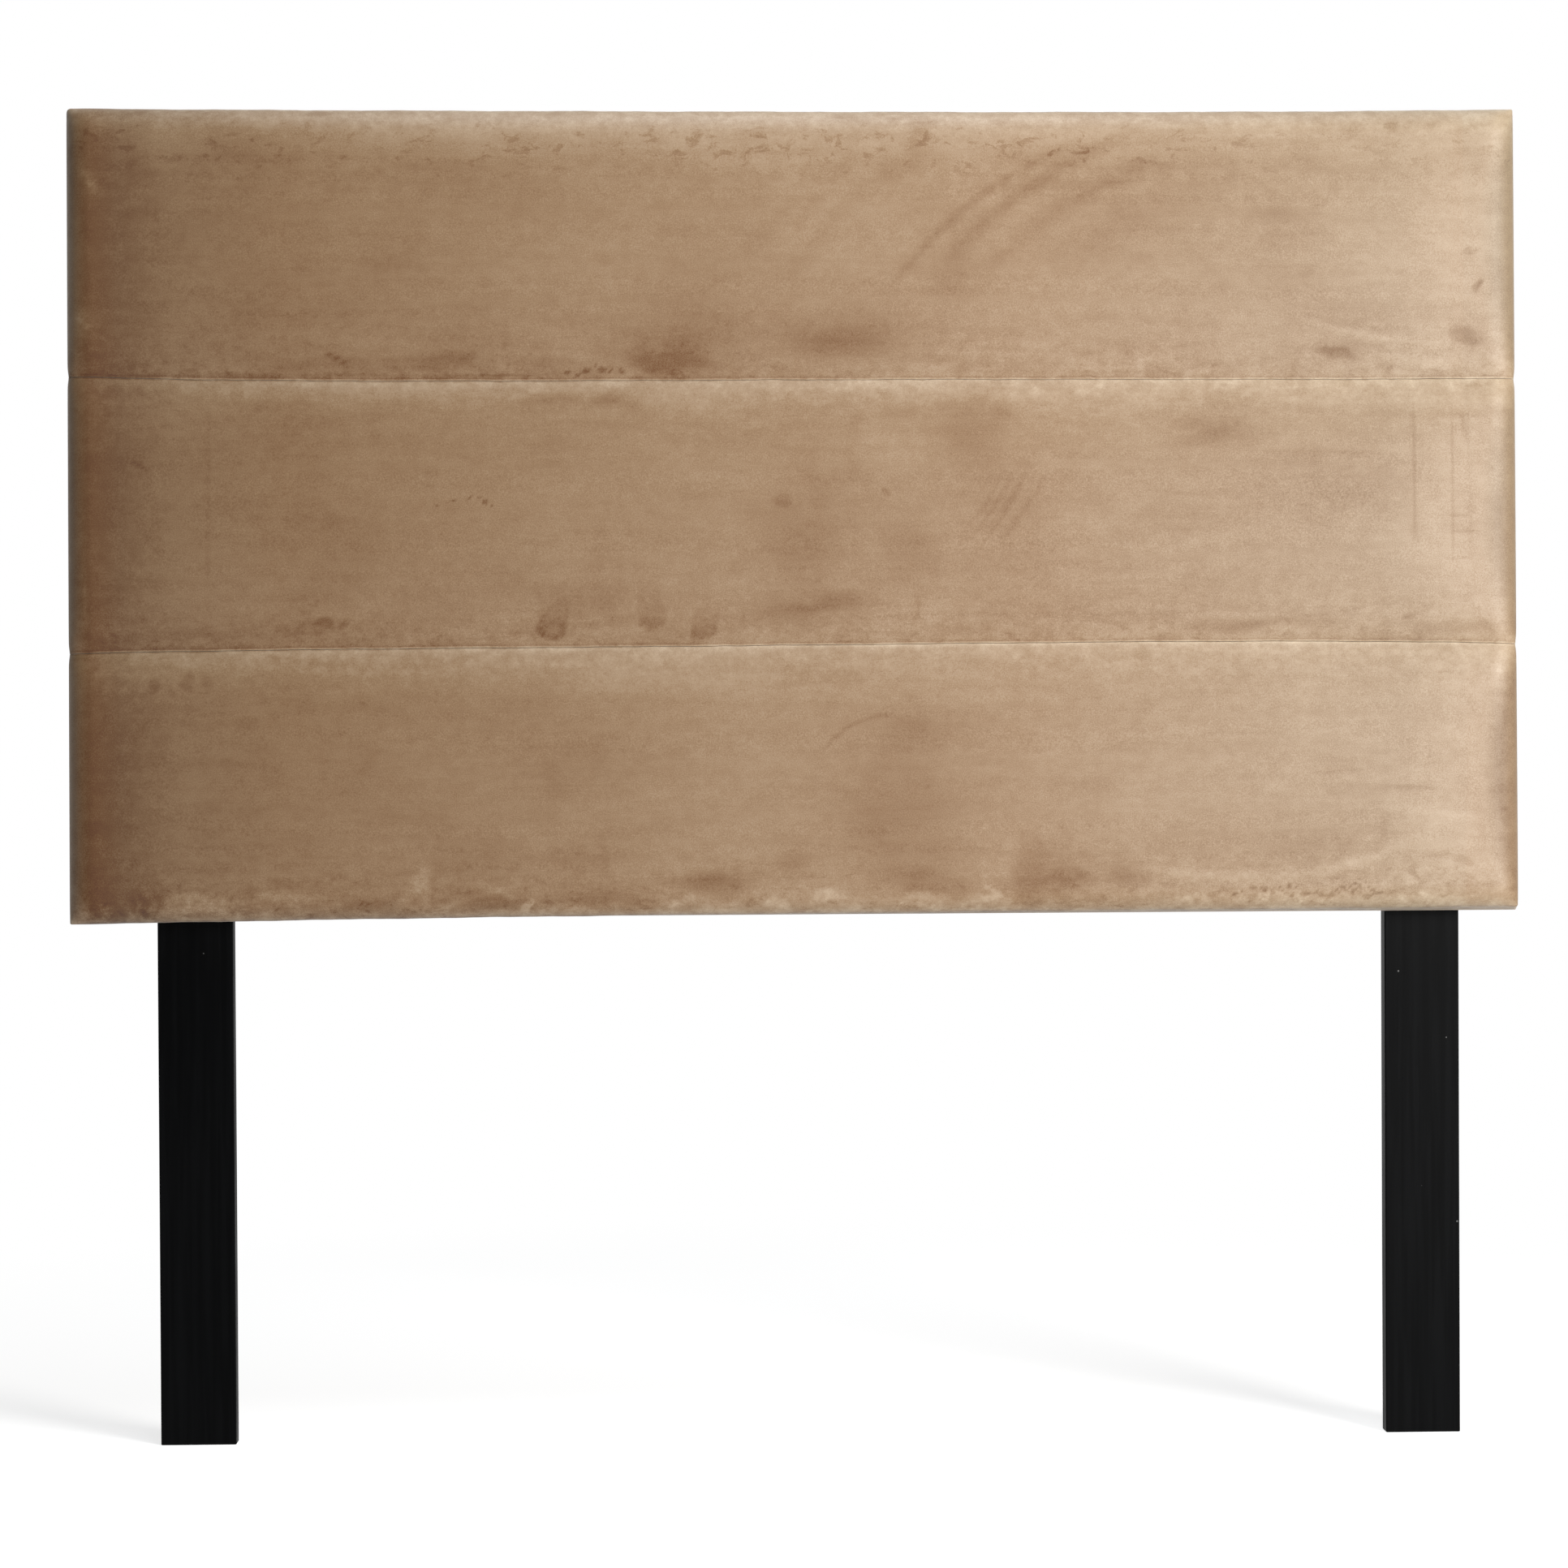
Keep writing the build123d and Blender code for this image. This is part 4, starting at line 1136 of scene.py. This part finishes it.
# Light

FILL_LEVEL = 0.02
# name, place, size, power and colour
LAMPS = (
    ("key_light", Vector((2.3, -2.72, 1.10)), 1.4, 140, (1.0, 0.985, 0.96)),
    ("overhead_light", Vector((0.2, -0.8, 3.1)), 1.6, 30, (0.93, 0.97, 1.0)),
)
for name, location, size, power, colour in LAMPS:
    light = bpy.data.lights.new(name, "AREA")
    light.shape = "DISK"
    light.size = size
    light.energy = power
    light.color = colour
    lamp = add_object(name, light)
    lamp.location = location
    lamp.rotation_euler = (PANEL_CENTRE - location).to_track_quat("-Z", "Y").to_euler()
    lamp.visible_camera = False


def shows_background(tree):
    """1 for rays that see the background itself: from the camera, in gloss or through glass."""
    path = node(tree, "ShaderNodeLightPath")
    seen = maths(tree, "MAXIMUM", path.outputs["Is Camera Ray"], path.outputs["Is Transmission Ray"])
    return seen, path.outputs["Is Glossy Ray"]


def make_world():
    """White to the camera; gloss sees the white backdrop behind the object and a dim room in front."""
    world = bpy.data.worlds.new("studio")
    world.use_nodes = True
    tree = world.node_tree
    tree.nodes.clear()
    seen, glossy = shows_background(tree)
    direction = node(tree, "ShaderNodeTexCoord").outputs["Generated"]
    towards_backdrop = node(tree, "ShaderNodeSeparateXYZ", {"Vector": direction}).outputs["Y"]
    backdrop = maths(tree, "MULTIPLY", glossy, ramp(tree, towards_backdrop, -0.05, 0.25))
    white = maths(tree, "MAXIMUM", seen, backdrop)
    dim = node(tree, "ShaderNodeBackground", {"Color": rgba(1, 1, 1), "Strength": FILL_LEVEL})
    bright = node(tree, "ShaderNodeBackground", {"Color": rgba(1, 1, 1), "Strength": 1.0})
    both = node(tree, "ShaderNodeMixShader", {0: white, 1: dim.outputs[0], 2: bright.outputs[0]})
    node(tree, "ShaderNodeOutputWorld", {"Surface": both.outputs[0]}, is_active_output=True)
    scene.world = world


FLOOR_HALF = 9.0
FLOOR_NEAR = 0.9
FLOOR_FAR = 2.0
FLOOR_COLOUR = rgba(0.80, 0.80, 0.80)
FLOOR_LIFT = 0.78


def make_floor():
    """A pale floor that keeps the soft shadow near the object and runs out to the white background."""
    material, tree = new_material("pale_floor")
    tree.nodes.clear()
    seen, glossy = shows_background(tree)
    shown = maths(tree, "MAXIMUM", seen, glossy)
    away = node(tree, "ShaderNodeVectorMath", {0: place(tree)}, operation="LENGTH").outputs["Value"]
    far = ramp(tree, away, FLOOR_NEAR, FLOOR_FAR)
    lit = node(tree, "ShaderNodeBsdfDiffuse", {"Color": FLOOR_COLOUR})
    lift = node(tree, "ShaderNodeEmission", {"Color": rgba(1, 1, 1), "Strength": FLOOR_LIFT})
    near = node(tree, "ShaderNodeAddShader", {0: lit.outputs[0], 1: lift.outputs[0]})
    white = node(tree, "ShaderNodeEmission", {"Color": rgba(1, 1, 1), "Strength": 1.0})
    faded = node(tree, "ShaderNodeMixShader", {0: far, 1: near.outputs[0], 2: white.outputs[0]})
    both = node(tree, "ShaderNodeMixShader", {0: shown, 1: lit.outputs[0], 2: faded.outputs[0]})
    node(tree, "ShaderNodeOutputMaterial", {"Surface": both.outputs[0]}, is_active_output=True)

    mesh = bpy.data.meshes.new("floor")
    corners = [(x * FLOOR_HALF, y * FLOOR_HALF, 0) for x, y in ((-1, -1), (1, -1), (1, 1), (-1, 1))]
    mesh.from_pydata(corners, [], [(0, 1, 2, 3)])
    mesh.materials.append(material)
    floor = add_object("floor", mesh)


make_world()
make_floor()
scene.view_settings.view_transform = "Standard"


# Camera

def make_camera():
    camera = bpy.data.cameras.new("camera")
    camera.sensor_width = SENSOR_WIDTH
    camera.lens = FOCAL_PIXELS / PHOTO_SIZE * SENSOR_WIDTH
    turned = (
        Matrix.Rotation(CAMERA_YAW, 3, "Z")
        @ Matrix.Rotation(CAMERA_PITCH, 3, "X")
        @ Matrix.Rotation(CAMERA_ROLL, 3, "Y")
        @ Matrix.Rotation(pi / 2, 3, "X")
    )
    scene.camera = add_object("camera", camera)
    scene.camera.matrix_world = Matrix.Translation(CAMERA_PLACE) @ turned.to_4x4()


make_camera()
